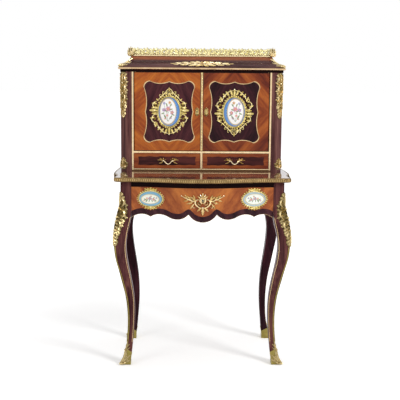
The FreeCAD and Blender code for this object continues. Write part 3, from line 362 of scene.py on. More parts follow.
woodLooks = {
    "amaranth": shades((38, 18, 26), (62, 31, 41), (84, 44, 52), along=5.0, across=60.0, coatRough=0.1,
                       rough=0.3),
    "plum": shades((56, 29, 32), (88, 51, 51), (116, 72, 66), across=70.0, coatRough=0.14, gloss=0.02,
                   coat=0.02),
    "postWood": shades((64, 36, 37), (102, 64, 61), (132, 90, 82), across=70.0, gloss=0.05, coat=0.04),
    # painted shade: a darker copy of the plum wood for the back legs
    "plumBackShaded": shades((30, 13, 18), (48, 22, 29), (64, 32, 39), across=70.0, gloss=0.04, coat=0.03),
    "hoodWood": shades((48, 30, 32), (76, 52, 53), (104, 74, 71), along=60.0, across=5.0,
                       upper=(1.237, 0.9, hue(198, 120, 80)), gloss=0.06, coat=0.05),
    # painted shadow: a near-black wood for the parts in shade under the cornice, under the table edge and
    # inside the cabinet
    "paintedShadowWood": shades((14, 5, 5), (24, 9, 9), (34, 15, 14), along=40.0, across=5.0, gloss=0.03, coat=0.0),
    "tableRose": shades((70, 42, 38), (106, 67, 57), (130, 84, 71), along=40.0, across=5.0, coat=1.0,
                        coatRough=0.025, rough=0.22, bump=0.02),
    "tulipFrieze": shades((116, 52, 27), (158, 83, 40), (192, 114, 54), centre=(0.0, -0.2, 0.52), mirror=1.0,
                          turn=-38, along=8.0, across=26.0, leaf=3.7),
    # the doors' edge: a line of painted shadow round each door
    "tulipLeft": shades((112, 42, 20), (158, 76, 30), (192, 108, 40), centre=(-0.1357, 0.036, 1.023),
                        mirror=1.0, turn=45, along=5.0, across=34.0,
                        edge=(-0.2834, -0.0046, 0.86, 1.186, 0.0021)),
    "tulipRight": shades((92, 32, 17), (136, 62, 28), (170, 90, 38), centre=(0.1357, 0.036, 1.023),
                         mirror=1.0, turn=45, along=5.0, across=34.0, leaf=1.6,
                         edge=(0.0046, 0.2834, 0.86, 1.186, 0.0021)),
    "tulipDrawer": shades((108, 42, 22), (148, 72, 34), (178, 100, 46), turn=90, along=5.0, across=44.0,
                          leaf=5.1),
    "fieldLeft": shades((34, 15, 20), (58, 27, 33), (82, 42, 46), gloss=0.06, coat=0.08,
                        centre=(-0.1357, 0.036, 1.023), mirror=1.0, turn=28, along=6.0, across=46.0,
                        rough=0.34),
    "fieldDrawer": shades((38, 15, 16), (64, 28, 28), (92, 45, 42), gloss=0.06, coat=0.08, turn=90, along=6.0,
                          across=60.0, rough=0.34, leaf=7.7),
    "band": shades((34, 16, 22), (56, 29, 35), (78, 43, 48), turn=20, along=9.0, across=50.0, rough=0.34,
                   leaf=4.4, gloss=0.06, coat=0.06),
    "tulipSide": shades((118, 46, 26), (158, 73, 36), (186, 98, 46), centre=(0.0, 0.1555, 0.9825), mirror=1.0,
                        leaf=9.3),
    # painted shade: a near-black sheet standing for the dark inside of a keyhole
    "keyhole": shades((8, 6, 6), (14, 10, 9), (22, 16, 14), coat=0.0, rough=0.7),
    "oak": shades((120, 86, 52), (158, 120, 78), (182, 146, 100), along=3.0, across=60.0, coat=0.0, rough=0.6,
                  pores=0.42, bump=0.3),
}
woodLooks["fieldRight"] = {**woodLooks["fieldLeft"], "centre": (0.1357, 0.036, 1.023), "leaf": 2.3}
woodLooks["oakAcross"] = {**woodLooks["oak"], "turn": 90}
giltLooks = {
    "castGilt": shades((112, 94, 46), (214, 198, 130), (255, 246, 212), rough=0.44, cast=True),
    "dullGilt": shades((74, 60, 28), (174, 156, 106), (234, 214, 172), rough=0.46, cast=True),
    "oldGilt": shades((46, 36, 16), (130, 113, 70), (202, 183, 136), rough=0.46, cast=True),
    "brightGilt": shades((108, 90, 44), (218, 196, 138), (255, 244, 214), rough=0.42, cast=True),
    "galleryGilt": shades((108, 94, 50), (214, 203, 148), (254, 249, 222), rough=0.44, cast=True),
    # painted shade: a darker copy of the plain gilt, for the sabots and the legs' gilt strips
    "shadedShoeGilt": shades((62, 52, 16), (122, 109, 52), (170, 154, 90), rough=0.44, cast=False),
    "edgeGilt": shades((58, 43, 24), (126, 101, 64), (182, 156, 108), rough=0.42, cast=True),
    "plainGilt": shades((80, 64, 28), (150, 128, 74), (200, 178, 118), rough=0.4, cast=False),
    "edgePlain": shades((58, 43, 24), (108, 85, 54), (148, 124, 82), rough=0.42, cast=False),
    "corniceBrass": shades((124, 96, 62), (188, 155, 114), (222, 194, 156), rough=0.38, cast=False),
    "brassStrip": shades((150, 116, 66), (216, 182, 128), (244, 222, 172), rough=0.36, cast=False),
    "lineBrass": shades((130, 98, 58), (196, 160, 110), (230, 204, 158), rough=0.36, cast=False),
    # painted shade: the strip is darkened below its level, a dark line at the cabinet's foot
    "filetBrass": shades((150, 116, 72), (216, 182, 136), (244, 222, 180), rough=0.36, cast=False,
                         below=(0.78, hue(108, 80, 52))),
    "mountGilt": shades((84, 62, 30), (210, 188, 138), (255, 242, 212), rough=0.42, cast=True),
    "lockSteel": shades((70, 68, 66), (128, 126, 122), (176, 174, 170), rough=0.45, cast=False),
}
wood = {name: makeWood(name, look) for name, look in woodLooks.items()}
metal = {name: makeGilt(name, look) for name, look in giltLooks.items()}


def makePorcelain():
    finish, tree, shader, place = newFinish("paintedPorcelain")
    paint = addNode(tree, "ShaderNodeAttribute", attribute_name="paint").outputs["Color"]
    age = placeGroup(tree, ageGroup, {"Vector": place, "Size": 30.0, "Rough": 0.12, "Spread": 0.1})
    cream = blendColour(tree, maths(tree, "MULTIPLY", age["Dust"], 0.25), paint, hue(244, 232, 208))
    setShader(tree, shader, {
        "Base Color": cream, "Roughness": age["Roughness"], "Coat Weight": 0.6, "Coat Roughness": 0.04,
    })
    return finish


porcelain = makePorcelain()
print("finishes ready", len(bpy.data.materials))


# finishes of the solid pieces

def pair(name):
    return "left_" + name, "right_" + name


nodeFinishes = {
    wood["plum"]: ("front_leg_left", "front_leg_right", "side_rails"),
    wood["postWood"]: ("corner_post_left", "corner_post_right", "cabinet_sides"),
    wood["plumBackShaded"]: ("back_leg_left", "back_leg_right"),
    wood["amaranth"]: ("cabinet_bottom",),
    wood["hoodWood"]: ("hood",),
    wood["paintedShadowWood"]: ("top_rail", "cornice_board", "cabinet_ceiling"),
    wood["tableRose"]: ("table_top",),
    wood["tulipFrieze"]: ("frieze_drawer_front",),
    wood["tulipLeft"]: ("left_door",),
    wood["tulipRight"]: ("right_door",),
    wood["tulipDrawer"]: pair("drawer_front"),
    wood["oak"]: ("cabinet_back", "drawer_partition", "small_drawer_guides", "drawer_runners"),
    wood["oakAcross"]: ("back_rail", "drawer_divider", "shelf_bearers", "shelf", "frieze_drawer_box",
                        *pair("drawer_box")),
    metal["edgePlain"]: ("table_edge_moulding",),
    metal["shadedShoeGilt"]: ("sabots",),
    metal["plainGilt"]: ("knee_mounts", "post_mounts_upper", "post_mounts_lower", "hood_mounts", "gallery",
                         *pair("door_plaque_frame"), *pair("door_escutcheon"), "frieze_plaque_frames",
                         "frieze_escutcheon", *pair("drawer_pull")),
    metal["corniceBrass"]: ("cornice_moulding",),
    metal["filetBrass"]: ("cabinet_filets",),
    metal["lineBrass"]: pair("door_trim"),
    metal["brassStrip"]: ("pivot_sockets", *pair("door_pivots")),
    metal["lockSteel"]: ("door_lock", "door_lock_bolt", "frieze_lock", "frieze_lock_bolt"),
    porcelain: (*pair("door_plaque"), "frieze_plaques"),
}
for finish, names in nodeFinishes.items():
    for name in names:
        mesh = nodes[name].data
        mesh.materials.clear()
        mesh.materials.append(finish)
print("solid pieces finished")


# cast mounts are drawn on a flat sheet in millimetres, with a height above the ground, then laid on the
# piece; each point's crest sets its brightness from its height, patina and painted shade low down, rubbed
# gilt and painted highlight high up

# across from edge to edge, and height
leafSection = ((-1.0, 0.2), (-0.74, 0.8), (-0.42, 0.42), (0.0, 1.0), (0.42, 0.42), (0.74, 0.8), (1.0, 0.2))
strandSection = ((-1.0, 0.15), (-0.72, 0.74), (-0.3, 1.0), (0.0, 0.78), (0.3, 1.0), (0.72, 0.74), (1.0, 0.15))
rodSection = ((-1.0, 0.0), (-0.7, 0.7), (0.0, 1.0), (0.7, 0.7), (1.0, 0.0))
sunk = -0.6  # how far the edges of a casting go into the ground
sharpAngle = math.radians(50)


def newSheet():
    return {"points": [], "faces": [], "crest": []}


def spotRound(centre, angle, across, up=None):
    return centre[0] + across * math.cos(angle), centre[1] + (across if up is None else up) * math.sin(angle)


def addRings(sheet, rings, crests, closed=False):
    start = len(sheet["points"])
    count = len(rings[0])
    for ring, tones in zip(rings, crests):
        sheet["points"] += ring
        sheet["crest"] += tones
    last = len(rings) if closed else len(rings) - 1
    for row in range(last):
        near = start + row * count
        far = start + (row + 1) % len(rings) * count
        for k in range(count):
            n = (k + 1) % count
            sheet["faces"].append((near + k, near + n, far + n, far + k))
    if not closed:
        sheet["faces"].append(tuple(start + k for k in reversed(range(count))))
        sheet["faces"].append(tuple(start + last * count + k for k in range(count)))


def addSweep(sheet, path, section, closed=False, floor=sunk, tone=1.0):
    # path rows: across, up, half width, height, and if need be a forward lean of the edges and a lift
    rings = []
    crests = []
    rows = len(path)
    for i, (u, v, half, height, *more) in enumerate(path):
        lean, lift = more or (0.0, 0.0)
        before = path[(i - 1) % rows] if closed else path[max(i - 1, 0)]
        after = path[(i + 1) % rows] if closed else path[min(i + 1, rows - 1)]
        du = after[0] - before[0]
        dv = after[1] - before[1]
        size = math.hypot(du, dv) or 1.0
        du /= size
        dv /= size
        under = lift - height * 0.55 if floor is None else floor
        ring = []
        for s, h in [(s, height * rise + lift) for s, rise in section] + [(0.9, under), (-0.9, under)]:
            push = lean * abs(s) ** 3
            ring.append((u - dv * s * half + du * push, v + du * s * half + dv * push, h))
        rings.append(ring)
        crests.append([min(1.0, 0.1 + 0.9 * rise) * tone for s, rise in section] + [0.0, 0.0])
    addRings(sheet, rings, crests, closed)


def addLeaf(sheet, start, end, half, height, sway, lobes):
    # a cut acanthus leaf along a bent rib, broad near its root
    rows = 4 * lobes + 2
    du = end[0] - start[0]
    dv = end[1] - start[1]
    size = math.hypot(du, dv)
    midU = (start[0] + end[0]) / 2 - dv / size * sway
    midV = (start[1] + end[1]) / 2 + du / size * sway
    path = []
    for i in range(rows + 1):
        t = i / rows
        a, b, c = (1 - t) ** 2, 2 * t * (1 - t), t * t
        u = a * start[0] + b * midU + c * end[0]
        v = a * start[1] + b * midV + c * end[1]
        phase = t * lobes % 1.0 if i < rows else 0.0
        cut = 0.6 + 0.4 * math.sin(math.pi * phase) ** 0.7
        swell = (1 - t ** 2.6) ** 0.7 * (0.5 + 0.5 * min(1.0, t / 0.3))
        width = max(half * swell * cut, 0.25)
        rise = height * (0.55 + 0.45 * math.sin(math.pi * min(1.0, 0.12 + t * 0.9))) * (0.82 + 0.18 * cut)
        path.append((u, v, width, max(rise * (1 - 0.55 * t ** 4), 0.4), width * 0.55 * phase, 0.0))
    addSweep(sheet, path, leafSection)


def addMiddleLeaf(sheet, start, end, half, height, lobes):
    addLeaf(sheet, start, end, half, height, 0.0, lobes)


def smoothLine(points, steps):
    # a curve through all the points
    line = []
    last = len(points) - 1
    for i in range(last):
        p = [points[max(i - 1, 0)], points[i], points[i + 1], points[min(i + 2, last)]]
        for k in range(steps):
            t = k / steps
            row = []
            for a, b, c, d in zip(*p):
                bend = 2 * a - 5 * b + 4 * c - d + t * (3 * (b - c) + d - a)
                row.append(b + 0.5 * t * (c - a + t * bend))
            line.append(tuple(row))
    line.append(tuple(points[-1]))
    return line


def addStrand(sheet, points, half, height):
    # a rounded stem through a few points, thinner at its ends
    smooth = smoothLine(points, 6)
    path = []
    for i, (u, v) in enumerate(smooth):
        t = i / (len(smooth) - 1)
        thin = 0.35 + 0.65 * math.sin(math.pi * min(max(t, 0.04), 0.96)) ** 0.6
        path.append((u, v, half * thin, height * (0.5 + 0.5 * thin)))
    addSweep(sheet, path, strandSection)


def addBoss(sheet, centre, across, up, height, sides=12, tone=1.0):
    rings = []
    crests = []
    angles = [2 * math.pi * k / sides for k in range(sides)]
    for level, reach in ((0.0, 1.0), (0.3, 1.0), (0.62, 0.84), (0.88, 0.52), (1.0, 0.14)):
        h = level * height if level else sunk
        rings.append([(*spotRound(centre, angle, across * reach, up * reach), h) for angle in angles])
        crests.append([level * tone] * sides)
    addRings(sheet, rings, crests)


# painted shade: a low boss in the darkest gilt tone, standing for a dark opening in the casting
def addShadowPit(sheet, centre, across, up, height):
    addBoss(sheet, centre, across, up, height, tone=0.0)


def addScroll(sheet, eye, radius, start, turns, half, height, hand):
    # a volute that unrolls from its eye
    steps = int(16 * turns) + 6
    path = []
    for i in range(steps + 1):
        t = i / steps
        angle = math.radians(start) + hand * 2 * math.pi * turns * t
        width = half * (0.6 + 0.4 * math.sin(math.pi * min(0.9, t + 0.1)))
        path.append((*spotRound(eye, angle, radius * (0.3 + 0.7 * t)), width, height * (1.15 - 0.3 * t)))
    addSweep(sheet, path, strandSection)
    addBoss(sheet, eye, radius * 0.34, radius * 0.34, height * 1.3)


def addFan(sheet, root, aim, spread, count, reach, half, height):
    # ribs of a shell, the outer ones a little shorter
    for k in range(count):
        share = k / (count - 1) * 2 - 1
        angle = math.radians(aim + share * spread)
        size = reach * (1 - 0.2 * share * share)
        path = []
        for i in range(9):
            t = i / 8
            width = half * (0.25 + 0.75 * t) * (1.0 if t < 0.95 else 0.5)
            rise = height * (0.45 + 0.55 * math.sin(math.pi * (0.15 + 0.8 * t)))
            path.append((*spotRound(root, angle, size * t), width, rise))
        addSweep(sheet, path, rodSection)


def addWeb(sheet, profile, height, tone):
    # the casting's plate under its relief: half widths up the middle line, the edge cut like leaf tips
    rings = []
    crests = []
    shares = [k / 4 - 1 for k in range(9)]
    for i, (v, half) in enumerate(smoothLine(profile, 5)):
        reach = max(half, 0.6) * (0.86 if i % 3 == 0 else 1.0)
        top = [(s * reach, v, height * (1 - 0.7 * s ** 4)) for s in shares]
        rings.append(top + [(reach, v, sunk), (-reach, v, sunk)])
        # the plate's low tone is painted shade under the relief
        crests.append([tone * (1 - 0.4 * s * s) for s in shares] + [0.0, 0.0])
    addRings(sheet, rings, crests)


def addCollar(sheet, inner, outline, height, tone):
    # the same round an oval opening, its outline drawn down the right side
    profile = ((0.0, 0.5), (0.12, 1.0), (0.5, 0.8), (0.85, 1.0), (1.0, 0.3))
    line = smoothLine(outline, 6)
    rings = []
    for u, v in line + [(-u, v) for u, v in reversed(line[1:-1])]:
        a, b = spotRound((0, 0), math.atan2(v / inner[1], u / inner[0]), *inner)
        top = [(a + (u - a) * t, b + (v - b) * t, height * rise) for t, rise in profile]
        rings.append(top + [(u, v, sunk), (a, b, sunk)])
    # the collar's low tone is painted shade round the opening
    crests = [[tone * rise for t, rise in profile] + [0.0, 0.0]] * len(rings)
    addRings(sheet, rings, crests, closed=True)


def addFoliage(sheet, profile, pitch, height, turnAt):
    # small leaves all the way up one side of a plate, upward above a level and downward below it
    rows = sorted(profile)
    v = rows[0][0] + pitch
    step = 0
    while v < rows[-1][0] - pitch * 0.5:
        half = float(np.interp(v, *zip(*rows)))
        way = 1 if v > turnAt else -1
        reach = half * (1.02 + 0.12 * math.sin(2.3 * step))
        tip = (reach, v + way * pitch * (0.5 + 0.3 * math.sin(1.7 * step)))
        broad = pitch * (0.46 + 0.08 * math.sin(3.1 * step))
        addLeaf(sheet, (half * 0.3, v - way * pitch * 0.55), tip, broad, height, -way * pitch * 0.25, 3)
        inner = (half * 0.5, v + way * pitch * 0.75)
        addLeaf(sheet, (half * 0.05, v), inner, pitch * 0.34, height * 1.1, way * pitch * 0.15, 2)
        addBoss(sheet, (reach * 0.9, tip[1]), pitch * 0.15, pitch * 0.15, height * 1.1, 8)
        v += pitch
        step += 1


def addHoop(sheet, across, up, half, height, tone, rows=72):
    path = [(*spotRound((0, 0), 2 * math.pi * i / rows, across, up), half, height) for i in range(rows)]
    addSweep(sheet, path, strandSection, closed=True, tone=tone)


def addFringe(sheet, across, up, count, reach, half, height, lean):
    # leaf tips all round an oval
    for k in range(count):
        angle = 2 * math.pi * (k + 0.5) / count
        root = spotRound((0, 0), angle, across, up)
        tip = spotRound(root, angle + lean, reach * (1.0 if k % 2 else 0.82))
        addLeaf(sheet, root, tip, half, height, 0.0, 1)
        addBoss(sheet, tip, half * 0.45, half * 0.45, height, 8)


def ovalSide(across, up):
    return [(across * math.sin(math.pi * k / 12), up * math.cos(math.pi * k / 12)) for k in range(13)]


def mirrorSheet(sheet):
    # adds the other half of a symmetric drawing
    shift = len(sheet["points"])
    sheet["points"] += [(-u, v, h) for u, v, h in sheet["points"]]
    sheet["crest"] += list(sheet["crest"])
    sheet["faces"] += [tuple(shift + k for k in reversed(face)) for face in list(sheet["faces"])]


sideMakers = {"leaves": addLeaf, "scrolls": addScroll, "strands": addStrand, "bosses": addBoss,
              "shadowPits": addShadowPit}
middleMakers = {"middleLeaves": addMiddleLeaf, "middleBosses": addBoss, "middleShadowPits": addShadowPit, "fans": addFan,
                "hoops": addHoop, "fringe": addFringe}


def addAll(sheet, design, makers):
    for label, maker in makers.items():
        for item in design.get(label, ()):
            maker(sheet, *item)


def drawMount(design):
    # the right half is drawn and mirrored, then what stands on the middle line is added
    sheet = newSheet()
    addAll(sheet, design, sideMakers)
    if "foliage" in design:
        addFoliage(sheet, design["web"][0], *design["foliage"])
    if design.get("mirror", True):
        mirrorSheet(sheet)
    addAll(sheet, design, middleMakers)
    if "web" in design:
        addWeb(sheet, *design["web"])
    if "collar" in design:
        addCollar(sheet, *design["collar"])
    wide, tall, deep = design.get("scale", (1.0, 1.0, 1.0))
    sheet["points"] = [(u * wide, v * tall, h * deep if h > 0 else h) for u, v, h in sheet["points"]]
    return sheet


def sheetTurned(sheet):
    # upside down
    return {**sheet, "points": [(-u, -v, h) for u, v, h in sheet["points"]]}


# laying: directions, and the places that a drawing goes to

alongX = (1, 0, 0)
alongZ = (0, 0, 1)
intoFront = (0, 1, 0)
slant = 0.7071
# shares: how far in a point is tried where its ray misses the ground
casting = {"from": 0.5, "reach": 1.2, "shares": (1.0, 0.97, 0.92, 0.85, 0.75, 0.6, 0.4, 0.0)}
standOff = 0.1  # where a ray starts outside a piece's box


def groundOf(*names):
    # what the drawing is laid on: the surfaces of some solid pieces
    points = []
    faces = []
    for name in names:
        mesh = nodes[name].data
        shift = len(points)
        points += [tuple(vertex.co) for vertex in mesh.vertices]
        faces += [tuple(shift + k for k in polygon.vertices) for polygon in mesh.polygons]
    return BVHTree.FromPolygons(points, faces)


def flatOn(origin, across, up, look):
    # the sheet stays flat
    origin, across, up, look = (Vector(item) for item in (origin, across, up, look))

    def place(u, v, h):
        return origin + across * (u * mm) + up * (v * mm) - look * (h * mm)

    return place


def layOn(ground, origin, across, up, look):
    # a point of the sheet goes where a ray along the look meets the ground, then back by its height
    origin, across, up, look = (Vector(item) for item in (origin, across, up, look))
    across.normalize()
    look.normalize()
    start = origin - look * casting["from"]

    def place(u, v, h):
        for share in casting["shares"]:
            spot = start + across * (u * share * mm) + up * (v * mm)
            hit = ground.ray_cast(spot, look, casting["reach"])[0]
            if hit is not None:
                depth = (hit - spot).dot(look)
                return start + across * (u * mm) + up * (v * mm) + look * (depth - h * mm)
        return origin + across * (u * mm) + up * (v * mm) - look * (h * mm)

    return place


def frontOn(ground, spot):
    return layOn(ground, spot, alongX, alongZ, intoFront)


def cornerOn(ground, spot, way=1):
    # on a right-hand corner, seen slantwise: way 1 at the front, -1 at the back
    return layOn(ground, spot, (slant, slant * way, 0), alongZ, (-slant, slant * way, 0))


def flatFront(spot, name):
    # flat on the foremost face of a solid piece
    return flatOn((spot[0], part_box(name)[0].y, spot[2]), alongX, alongZ, intoFront)


def middleOf(name):
    low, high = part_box(name)
    return (low + high) / 2


def laid(sheet, place):
    return [tuple(place(u, v, h)) for u, v, h in sheet["points"]], sheet["faces"], sheet["crest"]


def otherSide(part):
    # the same laid drawing on the other side of the middle plane
    spots, sides, tones = part
    return [(-x, y, z) for x, y, z in spots], [tuple(reversed(side)) for side in sides], tones


def joined(parts):
    # laid drawings as one: points, faces and crests
    spots = []
    sides = []
    tones = []
    for points, faces, crests in parts:
        shift = len(spots)
        spots += points
        sides += [tuple(shift + k for k in face) for face in faces]
        tones += crests
    return spots, sides, tones


def meshOf(name, points, faces, attributes=()):
    mesh = bpy.data.meshes.new(name)
    mesh.from_pydata(points, [], faces)
    for label, kind, values in attributes:
        layer = mesh.attributes.new(label, kind, "POINT")
        layer.data.foreach_set("value" if kind == "FLOAT" else "color", values)
    return mesh


def turnOutward(mesh, split=False):
    # split: many-sided faces are cut into triangles first
    work = bmesh.new()
    work.from_mesh(mesh)
    if split:
        bmesh.ops.triangulate(work, faces=[face for face in work.faces if len(face.verts) > 4])
    bmesh.ops.recalc_face_normals(work, faces=work.faces)
    work.to_mesh(mesh)
    work.free()


def finishMesh(mesh):
    turnOutward(mesh)
    mesh.shade_smooth()
    mesh.set_sharp_from_angle(angle=sharpAngle)


def castMesh(name, part):
    spots, sides, tones = part
    mesh = meshOf(name, spots, sides, (("crest", "FLOAT", tones),))
    finishMesh(mesh)
    return mesh


def addPiece(name, mesh, material, body, replaced=()):
    mesh.materials.clear()
    mesh.materials.append(material)
    piece = addToScene(name, mesh)
    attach(piece, body)
    if replaced:
        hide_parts(*replaced)


def addMount(name, parts, body, replaced=(), finish="castGilt"):
    addPiece(name, castMesh(name, joined(parts)), metal[finish], body, replaced)


doorFrameDesign = {
    "scale": (0.94, 0.95, 0.7),
    "collar": ((46.3, 62.6), ovalSide(56, 72), 2, 0.2),
    "fringe": ((51, 67.5, 34, 8.5, 3.6, 4.6, 0.7),),
    "hoops": ((49.2, 65.6, 3, 4.2, 0.5),),
    "strands": (
        (((0, 101), (8, 96), (15, 86), (24, 76), (35, 66), (46, 55), (57, 45)), 3.2, 7),
        (((13, 71), (11, 82), (0, 91)), 1.7, 5),
        (((24, 76), (29, 81), (27, 88), (22, 87)), 2.3, 6.5),
        (((36, 65), (42, 68), (41, 75), (35, 74)), 2.3, 6.5),
        (((55, 46), (66, 42), (72, 32), (70, 21), (61, 15)), 3.2, 7.5),
        (((53, -9), (66, -13), (75, -22), (77, -35), (69, -45), (58, -44)), 3.4, 7.5),
        (((57, -44), (65, -49), (64, -58), (57, -61)), 2.7, 7),
        (((54, -50), (48, -64), (38, -78), (26, -88), (12, -93), (0, -95)), 3.2, 7),
    ),
    "leaves": (
        ((46, 48), (57, 58), 4, 5.5, -2, 2),
        ((54, 34), (77, 37), 6, 7, 3, 3),
        ((55, 20), (78, 19), 6, 7, -2, 3),
        ((56, 6), (88, 6), 9, 8, 1, 3),
        ((56, -4), (78, -7), 5.5, 7, -2, 3),
        ((66, -24), (85, -30), 5.5, 7, 2, 2),
        ((54, -46), (63, -67), 6, 7, -2, 2),
        ((38, -66), (50, -81), 6, 7, 2, 2),
        ((24, -72), (38, -91), 6.5, 7, 2, 2),
        ((10, -74), (21, -98), 6.5, 7, -2, 2),
        ((15, 74), (17, 88), 4, 6, 1, 2),
        ((28, 64), (32, 76), 4, 6, 1, 2),
    ),
    "bosses": (((48, -68), 3.8, 3.8, 7.5), ((66, 6), 3.6, 3.6, 9)),
    "shadowPits": (((60, 30), 4.5, 7, 4.8), ((58, -14), 4.5, 3.5, 4.4), ((63, -31), 6, 7, 4.8),
             ((41, -65), 3.4, 3.4, 4.4), ((9, 78), 2.8, 3.4, 4.2), ((28, -74), 3, 3, 4.4)),
    "middleLeaves": (((0, 88), (0, 106), 4.5, 6.5, 2), ((0, -70), (0, -99), 7, 7, 3)),
    "middleBosses": (((0, -99), 3.8, 3.8, 7.5),),
    "fans": (((0, 74), 90, 70, 5, 12, 2.4, 6),),
}
friezeFrameDesign = {
    "scale": (1, 1, 0.75),
    "collar": ((45.5, 29), ovalSide(51.5, 35.2), 1.8, 0.2),
    "fringe": ((49, 32.5, 30, 5.6, 3.4, 5, 0.3),),
    "hoops": ((47.2, 30.8, 2, 5, 0.9),),
    "leaves": (
        ((0, 33), (14, 44), 4.5, 7, -2, 3),
        ((6, 34), (26, 41), 4, 6, -2, 2),
        ((0, -33), (13, -43), 4.5, 7, 2, 3),
        ((6, -34), (25, -40), 4, 6, 2, 2),
    ),
    "middleLeaves": (((0, 32), (0, 47), 5.5, 8, 3), ((0, -32), (0, -45), 6, 8, 3)),
    "middleBosses": (((0, 34), 3.5, 3, 9), ((0, -34), 3.5, 3, 9)),
}
friezeLockDesign = {
    "scale": (1, 1, 0.7),
    "fans": (((0, 5), 90, 60, 5, 24, 3.3, 7),),
    "strands": (
        (((0, -10), (7, -8), (11, 0), (8, 9), (0, 13)), 3.4, 8),
        (((4, -14), (12, -17), (19, -12), (18, -5)), 2, 6.5),
        (((0, -29), (14, -27), (26, -18), (30, -6), (24, 3), (14, 4)), 3.6, 8.5),
        (((26, -4), (38, -3), (50, 2), (60, 6), (72, 12), (84, 19)), 3.2, 7),
        (((28, -8), (36, -14), (40, -22), (36, -29), (30, -26)), 2.4, 7),
    ),
    "leaves": (
        ((10, 8), (21, 18), 4.2, 7, 3, 2),
        ((30, -2), (51, 15), 5.2, 8, 5, 4),
        ((31, 2), (39, 22), 4.6, 7.5, 3, 3),
        ((46, 2), (67, 19), 4.4, 7.5, 4, 3),
        ((40, -5), (64, -12), 4.4, 7, -4, 3),
        ((58, 3), (76, -2), 3.8, 6.5, -3, 3),
        ((64, 9), (71, 24), 3.6, 6.5, 2, 2),
        ((34, -13), (48, -33), 4.6, 7, 4, 3),
        ((6, -30), (22, -44), 5.2, 8, 3, 3),
    ),
    "middleLeaves": (((0, -30), (0, -59), 8, 9, 4), ((0, 14), (0, 31), 5, 8, 3)),
    "bosses": (((30, -6), 3.4, 3.4, 9), ((84, 19), 2.8, 2.8, 6)),
    "shadowPits": (((15, -9), 2.6, 3, 2.2), ((13, -21), 5, 1.8, 2.2), ((24, -8), 2, 3.4, 2.2)),
    "middleBosses": (((0, -28), 4.2, 3.8, 10), ((0, 1), 7.5, 10.5, 4.4)),
}
doorLockDesign = {
    "web": (((19, 1.5), (10, 6), (0, 7), (-10, 6), (-18, 1.5)), 1.4, 0.55),
    "strands": ((((0, -10), (5, -8), (6.5, 0), (5, 8), (0, 11)), 2.2, 4),),
    "leaves": (((4, 6), (9.5, 13), 3.2, 4, 1, 2), ((4, -6), (9.5, -12), 3.2, 4, -1, 2)),
    "middleLeaves": (((0, 9), (0, 19), 3.6, 5, 2), ((0, -9), (0, -18), 3.6, 5, 2)),
}
kneeDesign = {
    "web": (((85, 2), (67, 7), (39, 16), (11, 23), (-5, 27), (-25, 25), (-44, 21), (-61, 18), (-88, 12.5),
             (-111, 8.5), (-132, 3)), 3, 0.3),
    "foliage": (12, 7.5, -2),
    "strands": (
        (((3, 62), (11, 52), (13, 38), (8, 26), (2, 20)), 2, 8.5),
        (((2, 16), (15, 11), (21, -3), (16, -17), (3, -23)), 2.4, 9.5),
        (((3, -26), (13, -34), (16, -48), (11, -60), (2, -66)), 2.2, 8.5),
        (((2, -68), (8, -76), (10, -88), (6, -98), (1, -101)), 1.9, 7.5),
    ),
    "shadowPits": (((16, 24), 2.2, 4, 7.4), ((20, -14), 2.4, 4, 7.8), ((15, -52), 2.2, 4, 7.4),
             ((9, -82), 1.7, 3.5, 7)),
    "middleShadowPits": (((0, 6), 4, 5.5, 7.6), ((0, -48), 3.6, 6, 7.6)),
    "middleLeaves": (((0, 30), (0, 86), 6, 9, 5), ((0, -70), (0, -131), 5, 7, 6)),
    "middleBosses": (((0, -14), 4.5, 6, 11), ((0, -30), 4, 5, 10), ((0, 20), 4, 5, 10.5),
                     ((0, -66), 3.5, 4, 9)),
}
upperPostDesign = {
    "web": (((94, 13), (86, 18), (74, 19), (60, 19), (50, 21.5), (40, 19.5), (20, 19.5), (0, 19.5),
             (-20, 19.5), (-36, 18.5), (-56, 16.5), (-72, 13.5), (-86, 9), (-96, 3)), 2.6, 0.34),
    "foliage": (11, 6, -30),
    "strands": (
        (((2, 84), (10, 78), (14, 66), (8, 56), (2, 52)), 2, 7),
        (((2, 46), (12, 38), (14, 24), (8, 13), (2, 9)), 2, 7),
        (((2, 6), (11, -2), (13, -14), (8, -25), (2, -28)), 2, 6.5),
        (((2, -32), (9, -40), (11, -52), (6, -63), (1, -66)), 1.8, 6),
    ),
    "middleShadowPits": (((0, 27), 4, 5.5, 6.4), ((0, -12), 4.4, 6, 6.4), ((0, -49), 3.2, 5.5, 5.8)),
    "shadowPits": (((13, 58), 2.2, 3.5, 6), ((13, -38), 2, 3.5, 5.8)),
    "middleLeaves": (((0, 56), (0, 95), 6, 7, 4), ((0, -62), (0, -96), 5, 5.5, 5)),
    "middleBosses": (((0, 50), 4.5, 5.5, 9), ((0, 8), 3.8, 4.5, 8.5), ((0, -30), 3.4, 4.5, 8)),
}
lowerPostDesign = {
    "web": (((23, 5), (15, 13), (3, 19), (-9, 21), (-18, 18), (-23, 12)), 2.6, 0.34),
    "foliage": (9.5, 6.5, -16),
    "scrolls": (((11, -12), 6, 150, 1.2, 2, 7, -1),),
    "shadowPits": (((13, 2), 2, 3.5, 6.4),),
    "middleLeaves": (((0, -12), (0, 25), 6, 7.5, 4),),
    "middleBosses": (((0, -17), 5, 4.5, 9),),
}
hoodCornerDesign = {
    "web": (((21, 3), (12, 6), (0, 8), (-8, 11), (-15, 15), (-20, 13)), 2, 0.36),
    "leaves": (
        ((2, 0), (9, 16), 4, 4.5, 2, 2),
        ((3, -9), (16, 0), 4, 5, 2, 3),
        ((4, -16), (26, -12), 4, 4.5, 3, 3),
    ),
    "scrolls": (((10, -13), 4.2, 170, 1.1, 1.7, 6, -1),),
    "middleLeaves": (((0, -16), (0, 23), 5, 6, 5),),
    "middleBosses": (((0, -13), 5, 4.5, 7.5),),
}
